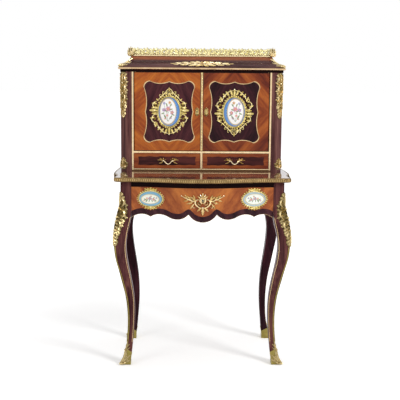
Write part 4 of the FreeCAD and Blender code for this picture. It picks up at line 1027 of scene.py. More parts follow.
hoodStripDesign = {
    "scale": (1, 0.8, 0.75),
    "leaves": (
        ((4, 2), (26, 12), 6.5, 6.5, 3, 3),
        ((4, -2), (28, -11), 6.5, 6.5, -3, 3),
        ((18, 0), (50, 9), 7, 6.5, 4, 4),
        ((24, -2), (58, -8), 6.5, 6, -4, 4),
        ((48, 1), (84, 7), 6, 6, 4, 4),
        ((54, 0), (92, -6), 5.5, 5.5, -4, 4),
        ((82, 1), (112, 4), 4.5, 5, 2, 3),
        ((88, 0), (118, -4), 4, 4.5, -2, 3),
        ((112, 0), (132, 1), 3.5, 4, 0, 2),
    ),
    "strands": ((((6, 0), (30, -3), (56, 3), (84, -2), (118, 0)), 2.4, 6.5),),
    "bosses": (((48, 2), 3.6, 3.6, 8), ((84, 0), 3, 3, 7), ((12, 0), 3.5, 5.5, 8)),
    "middleLeaves": (((0, -3), (0, 14), 6.5, 7.5, 3), ((0, 3), (0, -12), 5.5, 7, 2)),
    "middleBosses": (((0, 0), 5, 5, 11),),
}
sabotDesign = {
    "middleLeaves": (((0, 14), (0, 60), 9, 4.6, 4), ((0, 56), (0, 93), 3.6, 4.6, 3)),
    "leaves": (
        ((3, 10), (17, 40), 7, 4.4, 3, 4),
        ((5, 6), (25, 23), 6.5, 4, 3, 3),
        ((0, 54), (9, 69), 3.4, 4.2, 1.5, 2),
        ((0, 68), (7, 83), 3, 3.8, 1.2, 2),
    ),
    "scrolls": (((8, 9), 6, 200, 1.1, 2.2, 5.4, 1),),
    "shadowPits": (((9, 27), 2.2, 4.5, 3),),
    "middleBosses": (((0, 8), 6, 6, 7.5), ((0, 91), 2.4, 3, 5)),
}
pullDesign = {
    "scale": (1, 1, 0.8),
    "leaves": (
        ((19, 2), (45, 5), 3.8, 6, 5, 4),
        ((20, 3), (37, 13), 3.4, 6, 3, 3),
        ((20, 0), (39, -8), 3.2, 5.5, -3, 3),
        ((17, 4), (20, 15), 3.2, 6, -2, 2),
        ((20, 2), (8, 8), 2.8, 6, -2, 2),
    ),
    "bosses": (((20, 2), 4.6, 4.6, 9),),
}
# line: across, up, lift off the ground
bail = {"half": 2.2,
        "line": ((-20, 4, 5), (-15, 1, 9), (-9, -6, 12), (0, -11, 12.5), (9, -6, 12), (15, 1, 9), (20, 4, 5))}
friezeSpots = {"plaqueIn": 0.046, "lockHeight": 0.688}
# drawing, solid piece under it, place, piece that it replaces, finish
cornerMounts = {
    "kneeMounts": (kneeDesign, "front_leg_right", (0.345, -0.196, 0.631), "knee_mounts", "oldGilt"),
    "upperPostMounts": (upperPostDesign, "corner_post_right", (0.326, 0.046, 1.092), "post_mounts_upper",
                        "dullGilt"),
    "lowerPostMounts": (lowerPostDesign, "corner_post_right", (0.326, 0.046, 0.806), "post_mounts_lower",
                        "dullGilt"),
    "hoodMounts": (hoodCornerDesign, "hood", (0.322, 0.052, 1.227), "hood_mounts", "dullGilt"),
}
hoodStripSpot = (0, 0.04, 1.2215)
# solid piece under it, place, 1 at the front and -1 at the back
sabotSpots = (("front_leg_right", (0.31, -0.165, 0), 1), ("back_leg_right", (0.31, 0.2, 0), -1))


def frontMount(name, sheet, ground, spot, body, replaced, finish="castGilt"):
    addMount(name, [laid(sheet, frontOn(ground, spot))], body, (replaced,), finish)


doorSheet = drawMount(doorFrameDesign)
lockSheet = drawMount(doorLockDesign)
for side, sheet in (("left", doorSheet), ("right", sheetTurned(doorSheet))):
    door = side + "_door"
    face = groundOf(door)
    plate = door + "_escutcheon"
    frontMount(side + "DoorFrame", sheet, face, middleOf(door + "_plaque"), door, door + "_plaque_frame")
    frontMount(side + "DoorLockPlate", lockSheet, face, middleOf(plate), door, plate, "dullGilt")

friezeFace = groundOf("frieze_drawer_front")
low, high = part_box("frieze_plaques")
friezePlaces = []
for side in (-1, 1):
    spot = (side * (high.x - friezeSpots["plaqueIn"]), low.y, (low.z + high.z) / 2)
    friezePlaces.append(frontOn(friezeFace, spot))
lockSpot = (0, low.y, friezeSpots["lockHeight"])
friezeSheet = drawMount(friezeFrameDesign)
addMount("friezePlaqueFrames", [laid(friezeSheet, place) for place in friezePlaces], "frieze_drawer",
         ("frieze_plaque_frames",))
frontMount("friezeLockMount", drawMount(friezeLockDesign), friezeFace, lockSpot, "frieze_drawer",
           "frieze_escutcheon", "mountGilt")
print("door and drawer mounts laid")

for name, (design, ground, spot, replaced, finish) in cornerMounts.items():
    part = laid(drawMount(design), cornerOn(groundOf(ground), spot))
    addMount(name, [part, otherSide(part)], "carcase", (replaced,), finish)
strip = laid(drawMount(hoodStripDesign), frontOn(groundOf("hood"), hoodStripSpot))
addMount("hoodStrip", [strip], "carcase", finish="brightGilt")

sabotSheet = drawMount(sabotDesign)
sabotParts = []
for leg, spot, way in sabotSpots:
    part = laid(sabotSheet, cornerOn(groundOf("sabots", leg), spot, way))
    sabotParts += [part, otherSide(part)]
addMount("sabotLeaves", sabotParts, "carcase", finish="oldGilt")
print("carcase mounts laid")


def pullSheet():
    sheet = drawMount(pullDesign)
    half = bail["half"]
    path = []
    for u, v, lift in smoothLine(bail["line"], 5):
        path.append((u, v, half * (1.25 - 0.25 * abs(u) / 20), half * 1.4, 0.0, lift - half))
    addSweep(sheet, path, strandSection, floor=None)
    return sheet


handleSheet = pullSheet()
for side in ("left", "right"):
    drawer = side + "_drawer"
    pull = drawer + "_pull"
    face = groundOf(drawer + "_front")
    frontMount(side + "DrawerPull", handleSheet, face, middleOf(pull), drawer, pull, "mountGilt")
print("pulls laid")


# painted porcelain plaques: a coloured border, a pale reserve with a gilt line, and a spray of small flowers

# stems: points; leaves: across, up, angle, size; blossoms: across, up, reach, petals, colour, heart
doorSpray = {
    "stems": (((0, -30), (-3, -10), (0, 8)), ((0, -30), (-12, -12), (-13, 4)),
              ((0, -30), (10, -14), (12, -2)), ((0, -6), (6, 12), (5, 26)), ((-3, -8), (-10, 12), (-12, 24))),
    "leaves": ((-9, -16, 120, 6.5), (8, -18, 50, 6.5), (-7, 2, 160, 6.0), (8, 6, 20, 6.0), (-4, 20, 110, 5.5),
               (9, 20, 60, 5.0), (15, -10, -20, 5.0), (-16, -6, 200, 5.0)),
    "blossoms": ((0, 8, 8.5, 6, (214, 96, 138), (240, 190, 90)),
                 (-13, 5, 6.0, 5, (150, 92, 178), (238, 205, 120)),
                 (12, -3, 6.5, 5, (190, 70, 120), (245, 214, 130)),
                 (5, 27, 5.2, 5, (222, 160, 70), (170, 84, 40)),
                 (-12, 25, 4.8, 5, (120, 120, 205), (244, 226, 150)),
                 (-3, -12, 5.0, 6, (228, 140, 150), (236, 190, 80)),
                 (8, -20, 3.4, 5, (140, 80, 160), (240, 214, 130)),
                 (-9, -22, 3.2, 5, (214, 110, 90), (244, 220, 140))),
}
friezeSpray = {
    "stems": (((-22, -6), (-8, -1), (4, 1)), ((4, 1), (14, 0), (23, 4)), ((-6, -1), (-4, 5), (2, 9)),
              ((8, 0), (12, -6), (18, -8))),
    "leaves": ((-15, -2, 150, 5.5), (-11, -6, 230, 5.0), (11, 3, 50, 5.0), (16, -4, -30, 5.0),
               (-3, -5, 260, 4.5), (6, -5, 290, 4.5)),
    "blossoms": ((0, 2, 5.6, 6, (150, 84, 150), (240, 205, 110)),
                 (-10, 2, 4.0, 5, (220, 130, 110), (244, 220, 140)),
                 (11, -1, 4.4, 5, (206, 96, 120), (240, 200, 100)),
                 (3, 9, 3.0, 5, (214, 160, 80), (160, 90, 50)),
                 (20, 4, 3.0, 5, (130, 110, 190), (244, 226, 150)),
                 (-19, -5, 2.8, 5, (190, 80, 110), (244, 220, 140))),
}
doorPlaque = {"half": (44.6, 61.0), "border": hue(64, 135, 208), "rim": hue(66, 92, 150),
              "ground": hue(255, 255, 252), "flush": hue(250, 240, 240), "dome": 3.2, "spray": doorSpray,
              "grow": 1.36}
friezePlaque = {"half": (47.0, 30.5), "dome": 2.4, "spray": friezeSpray, "grow": 1.25}
plaqueLooks = {
    "doorLeft": {**doorPlaque, "reserve": (-4.5, 1.5, 32.5, 51.5), "turn": 1},
    "doorRight": {**doorPlaque, "reserve": (4.5, 1.5, 32.5, 51.5), "turn": -1},
    "friezeLeft": {**friezePlaque, "reserve": (-2.0, -1.0, 34.0, 18.0), "turn": 1,
                   "border": hue(112, 172, 202), "rim": hue(58, 84, 96), "ground": hue(248, 248, 238),
                   "flush": hue(240, 236, 190)},
    "friezeRight": {**friezePlaque, "reserve": (1.0, 0.0, 36.0, 20.0), "turn": -1,
                    "border": hue(168, 190, 196), "rim": hue(104, 110, 142), "ground": hue(246, 248, 240),
                    "flush": hue(226, 238, 220)},
}
plaqueGrid = {"rings": 72, "rays": 200, "proud": 2.0}
paintTones = {"line": hue(206, 176, 96), "dots": hue(226, 204, 130), "stem": hue(96, 122, 66),
              "leaf": hue(122, 150, 84), "vein": hue(70, 98, 50)}


def fadeIn(value, edge, soft):
    return np.clip((edge - value) / soft + 0.5, 0.0, 1.0)


def lay(colours, cover, tone):
    # one coat of paint over what is there
    colours[:, :3] = colours[:, :3] * (1 - cover[:, None]) + np.array(tone[:3]) * cover[:, None]


def strokeCover(u, v, line, width):
    reach = np.full(u.shape, 1e9)
    for (a, b), (c, d) in zip(line, line[1:]):
        run = max((c - a) ** 2 + (d - b) ** 2, 1e-6)
        t = np.clip(((u - a) * (c - a) + (v - b) * (d - b)) / run, 0, 1)
        reach = np.minimum(reach, np.hypot(u - a - t * (c - a), v - b - t * (d - b)))
    return fadeIn(reach, width, width * 0.8)


def paintSpray(colours, u, v, spray):
    for line in spray["stems"]:
        lay(colours, strokeCover(u, v, smoothLine(line, 5), 0.55) * 0.85, paintTones["stem"])
    for x, y, angle, size in spray["leaves"]:
        c, s = math.cos(math.radians(angle)), math.sin(math.radians(angle))
        along = (u - x) * c + (v - y) * s
        across = -(u - x) * s + (v - y) * c
        shape = np.hypot(along / size, across / (size * 0.36))
        lay(colours, fadeIn(shape, 1.0, 0.3) * 0.9, paintTones["leaf"])
        lay(colours, fadeIn(np.abs(across), 0.35, 0.4) * fadeIn(shape, 0.9, 0.2) * 0.7, paintTones["vein"])
    for x, y, size, petals, petal, heart in spray["blossoms"]:
        tone = np.array(hue(*petal))
        reach = np.hypot(u - x, v - y) / size
        wave = np.cos(petals * np.arctan2(v - y, u - x) + x)
        edge = 0.78 + 0.22 * wave
        lay(colours, fadeIn(reach / edge, 1.0, 0.16) * 0.95, tone)
        lay(colours, fadeIn(np.abs(reach / edge - 0.72), 0.12, 0.16) * 0.55, tone * 0.5 + 0.5)
        lay(colours, fadeIn(wave, -0.86, 0.2) * fadeIn(reach, 0.8, 0.2) * 0.5, tone * 0.45)
        lay(colours, fadeIn(reach, 0.26, 0.12), hue(*heart))


def paintPlaque(u, v, look):
    half = look["half"]
    colours = np.ones((u.size, 4))
    outer = np.hypot(u / half[0], v / half[1])
    wash = 0.5 + 0.5 * np.sin(u * 0.11 + 1.0) * np.cos(v * 0.09)
    colours[:, :3] = np.array(look["border"][:3]) * (0.9 + 0.18 * wash[:, None])
    lay(colours, fadeIn(-outer, -0.93, 0.06), look["rim"])
    a, b, ru, rv = look["reserve"]
    inner = np.hypot((u - a) / ru, (v - b) / rv)
    field = fadeIn(inner, 1.0, 0.02)
    lay(colours, fadeIn(inner, 1.07, 0.02), paintTones["line"])
    lay(colours, field, look["ground"])
    lay(colours, field * np.clip(inner * 1.3 - 0.6, 0, 0.8) * 0.6, look["flush"])
    dots = np.cos(36 * np.arctan2((v - b) / rv, (u - a) / ru)) * fadeIn(np.abs(inner - 1.13), 0.025, 0.02)
    lay(colours, np.clip(dots * 1.6 - 0.6, 0, 1), paintTones["dots"])
    paintSpray(colours, (u - a) * look["turn"] / look["grow"], (v - b) / look["grow"], look["spray"])
    return np.clip(colours, 0, 1)


def plaquePoints(look):
    # a shallow dome as a polar grid, with a skirt that goes down behind the frame
    rings, rays = plaqueGrid["rings"], plaqueGrid["rays"]
    share = np.concatenate([np.linspace(0.012, 1.0, rings), [1.0]])
    angle = np.linspace(0, 2 * np.pi, rays, endpoint=False)
    r, t = np.meshgrid(share, angle, indexing="ij")
    u = (r * np.cos(t)).ravel() * look["half"][0]
    v = (r * np.sin(t)).ravel() * look["half"][1]
    h = plaqueGrid["proud"] + look["dome"] * (1 - r.ravel() ** 2)
    h[-rays:] = 0.0
    faces = [tuple(range(rays))]
    for row in range(rings):
        for k in range(rays):
            n = (k + 1) % rays
            faces.append((row * rays + k, (row + 1) * rays + k, (row + 1) * rays + n, row * rays + n))
    return u, v, h, faces


def addPlaques(name, body, replaced, laidLooks):
    parts = []
    for label, place in laidLooks:
        look = plaqueLooks[label]
        u, v, h, sides = plaquePoints(look)
        parts.append(([tuple(place(*spot)) for spot in zip(u, v, h)], sides, list(paintPlaque(u, v, look))))
    points, faces, paint = joined(parts)
    mesh = meshOf(name, points, faces, (("paint", "FLOAT_COLOR", np.array(paint, np.float32).ravel()),))
    finishMesh(mesh)
    addPiece(name, mesh, porcelain, body, (replaced,))


for side in ("left", "right"):
    door = side + "_door"
    place = frontOn(groundOf(door), middleOf(door + "_plaque"))
    addPlaques(side + "DoorPlaque", door, door + "_plaque", [("door" + side.title(), place)])
friezeLabels = ("friezeLeft", "friezeRight")
addPlaques("friezePlaques", "frieze_drawer", "frieze_plaques", zip(friezeLabels, friezePlaces))
print("plaques painted")


# veneer panels and bandings, thin sheets on the solid wood

veneer = {"proud": 0.3, "sunk": -0.2}
cartouche = {"half": (106.7, 128.5), "ear": 26.0, "waist": 11.0, "cusp": 6.0, "dip": 10.0, "peak": 2.0}
drawerPanel = {"half": (121.0, 19.0), "wave": 2.2, "ends": 6.0, "notch": 1.5}
footLine = {"end": 283.7, "half": 2.3, "height": 1.6, "below": 0.0026}
# the edge is found from inset, faceBelow and behind, in metres; line: lift, half width, height
apron = {"steps": 240, "inset": 0.0004, "faceBelow": 0.03, "behind": 0.006, "rows": 7, "foot": 0.4,
         "width": 23.0, "round": 2.2, "lean": 0.75, "rise": 0.72, "endGap": 0.2, "line": (1.0, 0.6, 0.6)}
sidePanel = {"y": (0.095, 0.216), "z": (0.815, 1.15), "filet": 2.6, "height": 0.7}


def addSheet(name, outline, place, material, body, proud=veneer["proud"]):
    # a flat panel from its outline
    count = len(outline)
    points = [tuple(place(u, v, h)) for h in (proud, veneer["sunk"]) for u, v in outline]
    faces = [tuple(range(count)), tuple(reversed(range(count, 2 * count)))]
    for k in range(count):
        n = (k + 1) % count
        faces.append((k, count + k, count + n, n))
    mesh = meshOf(name, points, faces)
    turnOutward(mesh, split=True)
    addPiece(name, mesh, material, body)


def arcThrough(a, b, c, steps):
    # points of the arc from a to c by way of b, without c
    d = 2 * (a[0] * (b[1] - c[1]) + b[0] * (c[1] - a[1]) + c[0] * (a[1] - b[1]))
    sa, sb, sc = (p[0] ** 2 + p[1] ** 2 for p in (a, b, c))
    x = (sa * (b[1] - c[1]) + sb * (c[1] - a[1]) + sc * (a[1] - b[1])) / d
    y = (sa * (c[0] - b[0]) + sb * (a[0] - c[0]) + sc * (b[0] - a[0])) / d
    radius = math.hypot(a[0] - x, a[1] - y)
    angles = [math.atan2(p[1] - y, p[0] - x) for p in (a, b, c)]
    turn = (angles[2] - angles[0]) % (2 * math.pi)
    if (angles[1] - angles[0]) % (2 * math.pi) > turn:
        turn -= 2 * math.pi
    return [spotRound((x, y), angles[0] + turn * k / steps, radius) for k in range(steps)]


def cartoucheOutline():
    hw, hh = cartouche["half"]
    ear = cartouche["ear"]
    b = ear * (1 - math.sqrt(0.5))
    peak = (0, hh - cartouche["peak"])
    waist = (hw - cartouche["waist"], (hh - ear) / 2)
    quarter = arcThrough((hw - cartouche["cusp"], 0), waist, (hw, hh - ear), 14)
    quarter += arcThrough((hw, hh - ear), (hw - b, hh - b), (hw - ear, hh), 10)
    quarter += arcThrough((hw - ear, hh), (0.4 * hw, hh - cartouche["dip"]), peak, 14)
    top = quarter + [peak] + [(-u, v) for u, v in reversed(quarter)]
    return top + [(u, -v) for u, v in reversed(top[1:-1])]


def drawerPanelOutline():
    # a long panel with wavy edges and hollow ends
    hw, hh = drawerPanel["half"]
    top = []
    for k in range(61):
        t = k / 60 * 2 - 1
        wave = drawerPanel["wave"] * (0.5 + 0.5 * math.cos(5 * math.pi * t))
        top.append((-t * hw, hh - wave - drawerPanel["notch"] * (abs(t) > 0.96)))
    hollow = drawerPanel["ends"]
    end = [(-hw + hollow * math.sin(math.pi * k / 8) ** 2 * 0.5, hh * (1 - k / 4)) for k in range(2, 7)]
    return top + end + [(u, -v) for u, v in reversed(top)] + [(-u, v) for u, v in reversed(end)]


for side in ("left", "right"):
    door = side + "_door"
    place = flatFront(middleOf(door + "_plaque"), door)
    addSheet(side + "DoorField", cartoucheOutline(), place, wood["field" + side.title()], door)
for side in ("left", "right"):
    front = side + "_drawer_front"
    place = flatFront(middleOf(front), front)
    addSheet(side + "DrawerField", drawerPanelOutline(), place, wood["fieldDrawer"], side + "_drawer")


def addFootLine():
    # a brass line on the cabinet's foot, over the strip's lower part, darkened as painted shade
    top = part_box("cabinet_bottom")[1].z
    line = newSheet()
    ends = (-footLine["end"], footLine["end"])
    addSweep(line, [(u, 0, footLine["half"], footLine["height"]) for u in ends], rodSection)
    place = flatFront((0, 0, top - footLine["below"]), "cabinet_bottom")
    addMount("footLine", [laid(line, place)], "carcase", finish="filetBrass")


def apronEdge():
    # the lower edge of the drawer front, found from below just behind its face
    low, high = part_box("frieze_drawer_front")
    inset, steps = apron["inset"], apron["steps"]
    line = []
    for k in range(steps + 1):
        x = low.x + inset + (high.x - low.x - 2 * inset) * k / steps
        start = Vector((x, low.y - standOff, high.z - apron["faceBelow"]))
        face = friezeFace.ray_cast(start, Vector(intoFront))[0]
        start = Vector((x, face.y + apron["behind"], low.z - standOff))
        line.append((x / mm, friezeFace.ray_cast(start, Vector(alongZ))[0].z / mm))
    return line


def addApronBand():
    edge = apronEdge()
    rows = apron["rows"]
    place = frontOn(friezeFace, (0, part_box("frieze_drawer_front")[0].y, 0))
    limit = abs(edge[0][0]) - apron["endGap"]
    points = []
    for k, (x, z) in enumerate(edge):
        ahead = edge[min(k + 3, len(edge) - 1)]
        behind = edge[max(k - 3, 0)]
        du, dv = ahead[0] - behind[0], ahead[1] - behind[1]
        size = math.hypot(du, dv)
        for row in range(rows):
            lift = apron["foot"] + apron["width"] * row / (rows - 1)
            u = min(max(x - dv / size * lift * apron["lean"], -limit), limit)
            proud = veneer["proud"] + apron["round"] * math.sin(math.pi * row / (rows - 1))
            points.append(tuple(place(u, z + max(du / size, apron["rise"]) * lift, proud)))
    faces = []
    for k in range(len(edge) - 1):
        for row in range(rows - 1):
            a = k * rows + row
            faces.append((a, a + rows, a + rows + 1, a + 1))
    mesh = meshOf("apronBand", points, faces)
    mesh.shade_smooth()
    addPiece("apronBand", mesh, wood["band"], "frieze_drawer")
    line = newSheet()
    lift, half, height = apron["line"]
    addSweep(line, [(x, z + lift, half, height) for x, z in edge], rodSection)
    addMount("apronLine", [laid(line, place)], "frieze_drawer", finish="brassStrip")


def addSidePanels():
    # the cabinet's ends: a plain panel inside a brass line
    (y0, y1), (z0, z1) = sidePanel["y"], sidePanel["z"]
    hw, hh = (y1 - y0) / 2 / mm, (z1 - z0) / 2 / mm
    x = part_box("cabinet_sides")[1].x
    line = newSheet()
    corners = ((-hw, -hh), (hw, -hh), (hw, hh), (-hw, hh))
    for ends in zip(corners, corners[1:] + corners[:1]):
        addSweep(line, [(*end, sidePanel["filet"] / 2, sidePanel["height"]) for end in ends], rodSection)
    parts = []
    for side, label in ((-1, "left"), (1, "right")):
        place = flatOn((side * x, (y0 + y1) / 2, (z0 + z1) / 2), (0, side, 0), alongZ, (-side, 0, 0))
        addSheet(label + "SidePanel", corners, place, wood["tulipSide"], "carcase")
        parts.append(laid(line, place))
    addMount("sidePanelLines", parts, "carcase", finish="brassStrip")


addFootLine()
addApronBand()
addSidePanels()
print("veneers laid")


# repeated units along a path: the ribs of the table edge, beads, and the gallery's foliage

def makeRowTree():
    tree = bpy.data.node_groups.new("unitsAlongPath", "GeometryNodeTree")
    sockets = {}
    kinds = {"Path": "Geometry", "Unit": "Object", "Spacing": "Float", "Finish": "Material"}
    for label, kind in kinds.items():
        socket = tree.interface.new_socket(label, in_out="INPUT", socket_type="NodeSocket" + kind)
        sockets[label] = socket.identifier
    tree.interface.new_socket("Row", in_out="OUTPUT", socket_type="NodeSocketGeometry")
    given = addNode(tree, "NodeGroupInput").outputs
    curve = addNode(tree, "GeometryNodeMeshToCurve", {0: given["Path"]})
    inputs = {"Curve": curve.outputs[0], "Length": given["Spacing"]}
    steps = addNode(tree, "GeometryNodeResampleCurve", inputs, mode="LENGTH")
    inputs = {"Vector": addNode(tree, "GeometryNodeInputTangent").outputs[0]}
    turn = addNode(tree, "FunctionNodeAlignRotationToVector", inputs, axis="X", pivot_axis="Z")
    unit = addNode(tree, "GeometryNodeObjectInfo", {"Object": given["Unit"]})
    spread = addNode(tree, "GeometryNodeInstanceOnPoints", {
        "Points": steps.outputs[0], "Instance": unit.outputs["Geometry"], "Rotation": turn.outputs[0],
    })
    real = addNode(tree, "GeometryNodeRealizeInstances", {0: spread.outputs[0]})
    inputs = {"Geometry": real.outputs[0], "Material": given["Finish"]}
    dress = addNode(tree, "GeometryNodeSetMaterial", inputs)
    addNode(tree, "NodeGroupOutput", {0: dress.outputs[0]})
    return tree, sockets


rowTree, rowSockets = makeRowTree()


def addRow(name, lines, unitMesh, spacing, material, body, replaced=()):
    # lines: open paths in metres; the units in place become one plain mesh
    points = []
    edges = []
    for line in lines:
        edges += [(len(points) + k, len(points) + k + 1) for k in range(len(line) - 1)]
        points += [tuple(spot) for spot in line]
    pathMesh = bpy.data.meshes.new(name + "Path")
    pathMesh.from_pydata(points, edges, [])
    path = addToScene(name + "Path", pathMesh)
    unit = bpy.data.objects.new(name + "Unit", unitMesh)
    modifier = path.modifiers.new("row", "NODES")
    modifier.node_group = rowTree
    for label, value in (("Unit", unit), ("Spacing", spacing), ("Finish", material)):
        modifier[rowSockets[label]] = value
    settled = path.evaluated_get(bpy.context.evaluated_depsgraph_get())
    mesh = bpy.data.meshes.new_from_object(settled)
    path.modifiers.clear()
    bpy.data.objects.remove(path)
    bpy.data.objects.remove(unit)
    addPiece(name, mesh, material, body, replaced)


def beadUnit(name, across, deep, up, sides=8, rings=3):
    # half a bead that bulges to the front
    points = []
    tones = []
    for ring in range(rings):
        lift = ring / rings
        reach = math.cos(lift * math.pi / 2)
        for k in range(sides):
            x, z = spotRound((0, 0), 2 * math.pi * k / sides, across * reach, up * reach)
            points.append((x, -deep * math.sin(lift * math.pi / 2), z))
            # brighter towards the front of the bead: painted highlight on the front, painted shade at the
            # root
            tones.append(0.15 + 0.85 * lift)
    points.append((0, -deep, 0))
    tones.append(1.0)
    faces = [tuple(reversed(range(sides)))]
    for ring in range(rings):
        near = ring * sides
        for k in range(sides):
            n = (k + 1) % sides
            last = ring == rings - 1
            end = (len(points) - 1,) if last else (near + sides + n, near + sides + k)
            faces.append((near + k, near + n, *end))
    return castMesh(name, (points, faces, tones))


# inset: how far a path stays off its ends; sink: how deep a unit sits
tableEdge = {"spacing": 0.0085, "rib": (0.0036, 0.0026, 0.0082), "sink": 0.0006, "sideSteps": 59,
             "frontSteps": 120, "backInset": 0.004, "sideInset": 0.056, "frontInset": 0.006,
             "cornerGap": 0.002}
meetingBeads = {"spacing": 0.0108, "bead": (0.0029, 0.0024, 0.0044), "sink": 0.0003, "inset": 0.004}
galleryLook = {"spacing": 0.0375, "rail": 10.0, "railHalf": 1.6, "inset": 0.017, "sideIn": 0.0155,
               "depth": (0.0802, 0.2308), "cornerOut": 0.003}
galleryUnit = {
    "mirror": False,
    "strands": (
        (((-19, 8), (-10, 10), (2, 15), (9, 23), (7, 30), (1, 30), (0, 25)), 2.2, 3.2),
        (((-8, 10), (-12, 18), (-10, 26), (-5, 28)), 1.8, 2.8),
        (((2, 14), (12, 12), (19, 8)), 1.8, 2.6),
    ),
    "leaves": (
        ((-16, 9), (1, 24), 5.5, 3.4, 3, 4),
        ((4, 12), (18, 27), 6, 3.4, -4, 4),
        ((-12, 20), (-16, 33), 5.2, 3, 2, 3),
        ((8, 24), (11, 36), 5, 3, 1, 2),
        ((-6, 24), (-3, 35), 4.8, 3, -1, 2),
        ((17, 10), (16, 33), 4.2, 2.6, 0, 3),
        ((-19, 14), (-6, 16), 3.6, 2.4, 1, 2),
    ),
    "bosses": (((3.5, 26), 2.4, 2.4, 4.2),),
    "shadowPits": (((-14, 6.5), 2.7, 1.9, 2.6), ((-4.7, 6.5), 2.7, 1.9, 2.6), ((4.7, 6.5), 2.7, 1.9, 2.6),
             ((14, 6.5), 2.7, 1.9, 2.6)),
}
cornerLeaves = {
    "leaves": (
        ((2, 2), (13, 36), 6, 4, -3, 4),
        ((3, 2), (20, 26), 6, 4, -3, 4),
        ((4, 2), (22, 13), 5, 3.5, -2, 3),
    ),
    "scrolls": (((12, 8), 4.5, 160, 1.1, 1.6, 4, -1),),
    "shadowPits": (((8, 20), 2.2, 4, 4), ((6, 30), 1.8, 3, 3.6)),
    "middleLeaves": (((0, 1), (0, 40), 5, 4.5, 5),),
    "middleBosses": (((0, 6), 3.5, 4, 6.5),),
}


def addTableEdge():
    low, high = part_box("table_edge_moulding")
    ground = groundOf("table_edge_moulding")
    z = (low.z + high.z) / 2
    sink = tableEdge["sink"]
    line = []
    start, end = high.y - tableEdge["backInset"], low.y + tableEdge["sideInset"]
    for y in np.linspace(start, end, tableEdge["sideSteps"] + 1):  # left side, back to front
        hit = ground.ray_cast(Vector((low.x - standOff, y, z)), Vector(alongX))[0]
        if hit is not None:
            line.append((hit.x + sink, hit.y))
    bend = []
    start, end = low.x + tableEdge["frontInset"], high.x - tableEdge["frontInset"]
    for x in np.linspace(start, end, tableEdge["frontSteps"] + 1):
        hit = ground.ray_cast(Vector((x, low.y - standOff, z)), Vector(intoFront))[0]
        if hit is not None and hit.y < 0:
            bend.append((hit.x, hit.y + sink))
    line = [spot for spot in line if spot[1] > bend[0][1] + tableEdge["cornerGap"]]
    whole = line + bend + [(-x, y) for x, y in reversed(line)]
    unit = beadUnit("edgeRib", *tableEdge["rib"])
    path = [(x, y, z) for x, y in whole]
    addRow("tableEdgeRibs", [path], unit, tableEdge["spacing"], metal["edgeGilt"], "carcase")


def addMeetingBeads():
    low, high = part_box("right_door")
    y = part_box("right_door_trim")[0].y + meetingBeads["sink"]
    line = [(0, y, low.z + meetingBeads["inset"]), (0, y, high.z - meetingBeads["inset"])]
    unit = beadUnit("stripBead", *meetingBeads["bead"])
    addRow("meetingStripBeads", [line], unit, meetingBeads["spacing"], metal["castGilt"], "right_door")


def twoFaced(sheet, origin, across, look):
    # a casting that shows its relief on both sides
    looks = (look, tuple(-part for part in look))
    return [laid(sheet, flatOn(origin, across, alongZ, way)) for way in looks]


def addGallery():
    low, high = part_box("gallery")
    z = low.z
    x0, x1 = low.x + galleryLook["sideIn"], high.x - galleryLook["sideIn"]
    y0, y1 = galleryLook["depth"]
    corners = [(x0, y0, z), (x1, y0, z), (x1, y1, z), (x0, y1, z)]
    half, thick = galleryLook["rail"] / 2, galleryLook["railHalf"]
    lines = []
    parts = []
    for a, b in zip(corners, corners[1:] + corners[:1]):
        a, b = Vector(a), Vector(b)
        run = (b - a).length
        across = (b - a) / run
        lines.append([a + across * galleryLook["inset"], b - across * galleryLook["inset"]])
        bar = newSheet()
        addSweep(bar, [(u, half, half, thick) for u in (0, run / mm)], rodSection)
        parts += twoFaced(bar, a, across, (-across.y, across.x, 0))
    # the back run is a piece of its own, to keep each under the limit on triangles
    front, right, back, left = lines
    unit = castMesh("galleryUnit", joined(twoFaced(drawMount(galleryUnit), (0, 0, 0), alongX, intoFront)))
    groups = (("galleryFoliage", [front, right, left], ("gallery",)), ("galleryBackFoliage", [back], ()))
    for name, rows, replaced in groups:
        addRow(name, rows, unit, galleryLook["spacing"], metal["galleryGilt"], "carcase", replaced)
    out = galleryLook["cornerOut"]
    for x, y, _ in corners:
        way = (-slant if x == x1 else slant, slant if y == y0 else -slant, 0)
        spot = (x - way[0] * out, y - way[1] * out, z)
        parts += twoFaced(drawMount(cornerLeaves), spot, (way[1], -way[0], 0), way)
    addMount("galleryRails", parts, "carcase", finish="dullGilt")


addTableEdge()
addMeetingBeads()
addGallery()
print("rows made")


# lines on the legs, and keyholes as dark sheets of painted shade

# inner and outer: distance from the edge, half width, height; from and through: the ray, in metres
legLines = {"inner": (2.4, 0.9, 0.8), "outer": (2.2, 1.9, 1.6), "z": (92, 612), "below": 500, "rows": 54,
            "step": 2.2, "reach": 45, "from": 0.4, "through": 0.8}
keyholes = {"door": (1.7, 3.6), "frieze": (2.6, 4.6), "doorProud": 1.7, "friezeProud": 3.5}


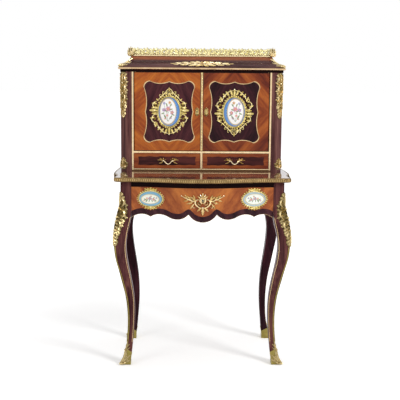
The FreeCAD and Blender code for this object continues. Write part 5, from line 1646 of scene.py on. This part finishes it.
def legEdges(ground, middle, across, look, outward):
    # where the leg begins and ends across each level, as seen along the look
    edges = {"inner": [], "outer": []}
    z0, z1 = legLines["z"]
    for row in range(legLines["rows"] + 1):
        level = z0 + (z1 - z0) * row / legLines["rows"]
        seen = []
        for k in range(-legLines["reach"], legLines["reach"]):
            spot = middle + across * (k * legLines["step"] * mm)
            spot.z = level * mm
            if ground.ray_cast(spot - look * legLines["from"], look, legLines["through"])[0] is not None:
                seen.append(k * legLines["step"])
        if not seen:
            continue
        inner, outer = (seen[0], seen[-1]) if outward > 0 else (seen[-1], seen[0])
        edges["inner"].append((inner + outward * legLines["inner"][0], level))
        if level < legLines["below"]:
            edges["outer"].append((outer - outward * legLines["outer"][0], level))
    return edges


def addLegLines():
    # a thin brass line on the inner edge of each leg's outward faces and a wider gilt strip near its arris
    parts = {"inner": [], "outer": []}
    for name, way in (("front_leg_right", 1), ("back_leg_right", -1)):
        ground = groundOf(name)
        middle = middleOf(name)
        middle.z = 0
        for across, look in ((alongX, (0, way, 0)), (intoFront, (-1, 0, 0))):
            across, look = Vector(across), Vector(look)
            outward = 1 if (across.x > 0 or way < 0) else -1
            place = layOn(ground, middle, across, alongZ, look)
            for label, line in legEdges(ground, middle, across, look, outward).items():
                half, height = legLines[label][1:]
                sheet = newSheet()
                path = [(u, v, half, height) for u, v in smoothLine(line[::6] + [line[-1]], 8)]
                addSweep(sheet, path, rodSection)
                parts[label].append(laid(sheet, place))
    for label, name, finish in (("inner", "legLines", "brassStrip"), ("outer", "legStrips", "shadedShoeGilt")):
        addMount(name, parts[label] + [otherSide(part) for part in parts[label]], "carcase", finish=finish)


def keyholeOutline(half, tall):
    bow = [spotRound((0, tall * 0.45), math.pi * (-0.25 + 1.5 * k / 14), half) for k in range(15)]
    return bow + [(-half * 0.75, -tall), (half * 0.75, -tall)]


addLegLines()
for side in ("left", "right"):
    door = side + "_door"
    place = flatFront(middleOf(door + "_escutcheon"), door)
    addSheet(side + "DoorKeyhole", keyholeOutline(*keyholes["door"]), place, wood["keyhole"], door,
             proud=keyholes["doorProud"])
addSheet("friezeKeyhole", keyholeOutline(*keyholes["frieze"]), frontOn(friezeFace, lockSpot), wood["keyhole"],
         "frieze_drawer", proud=keyholes["friezeProud"])
print("lines and keyholes laid")
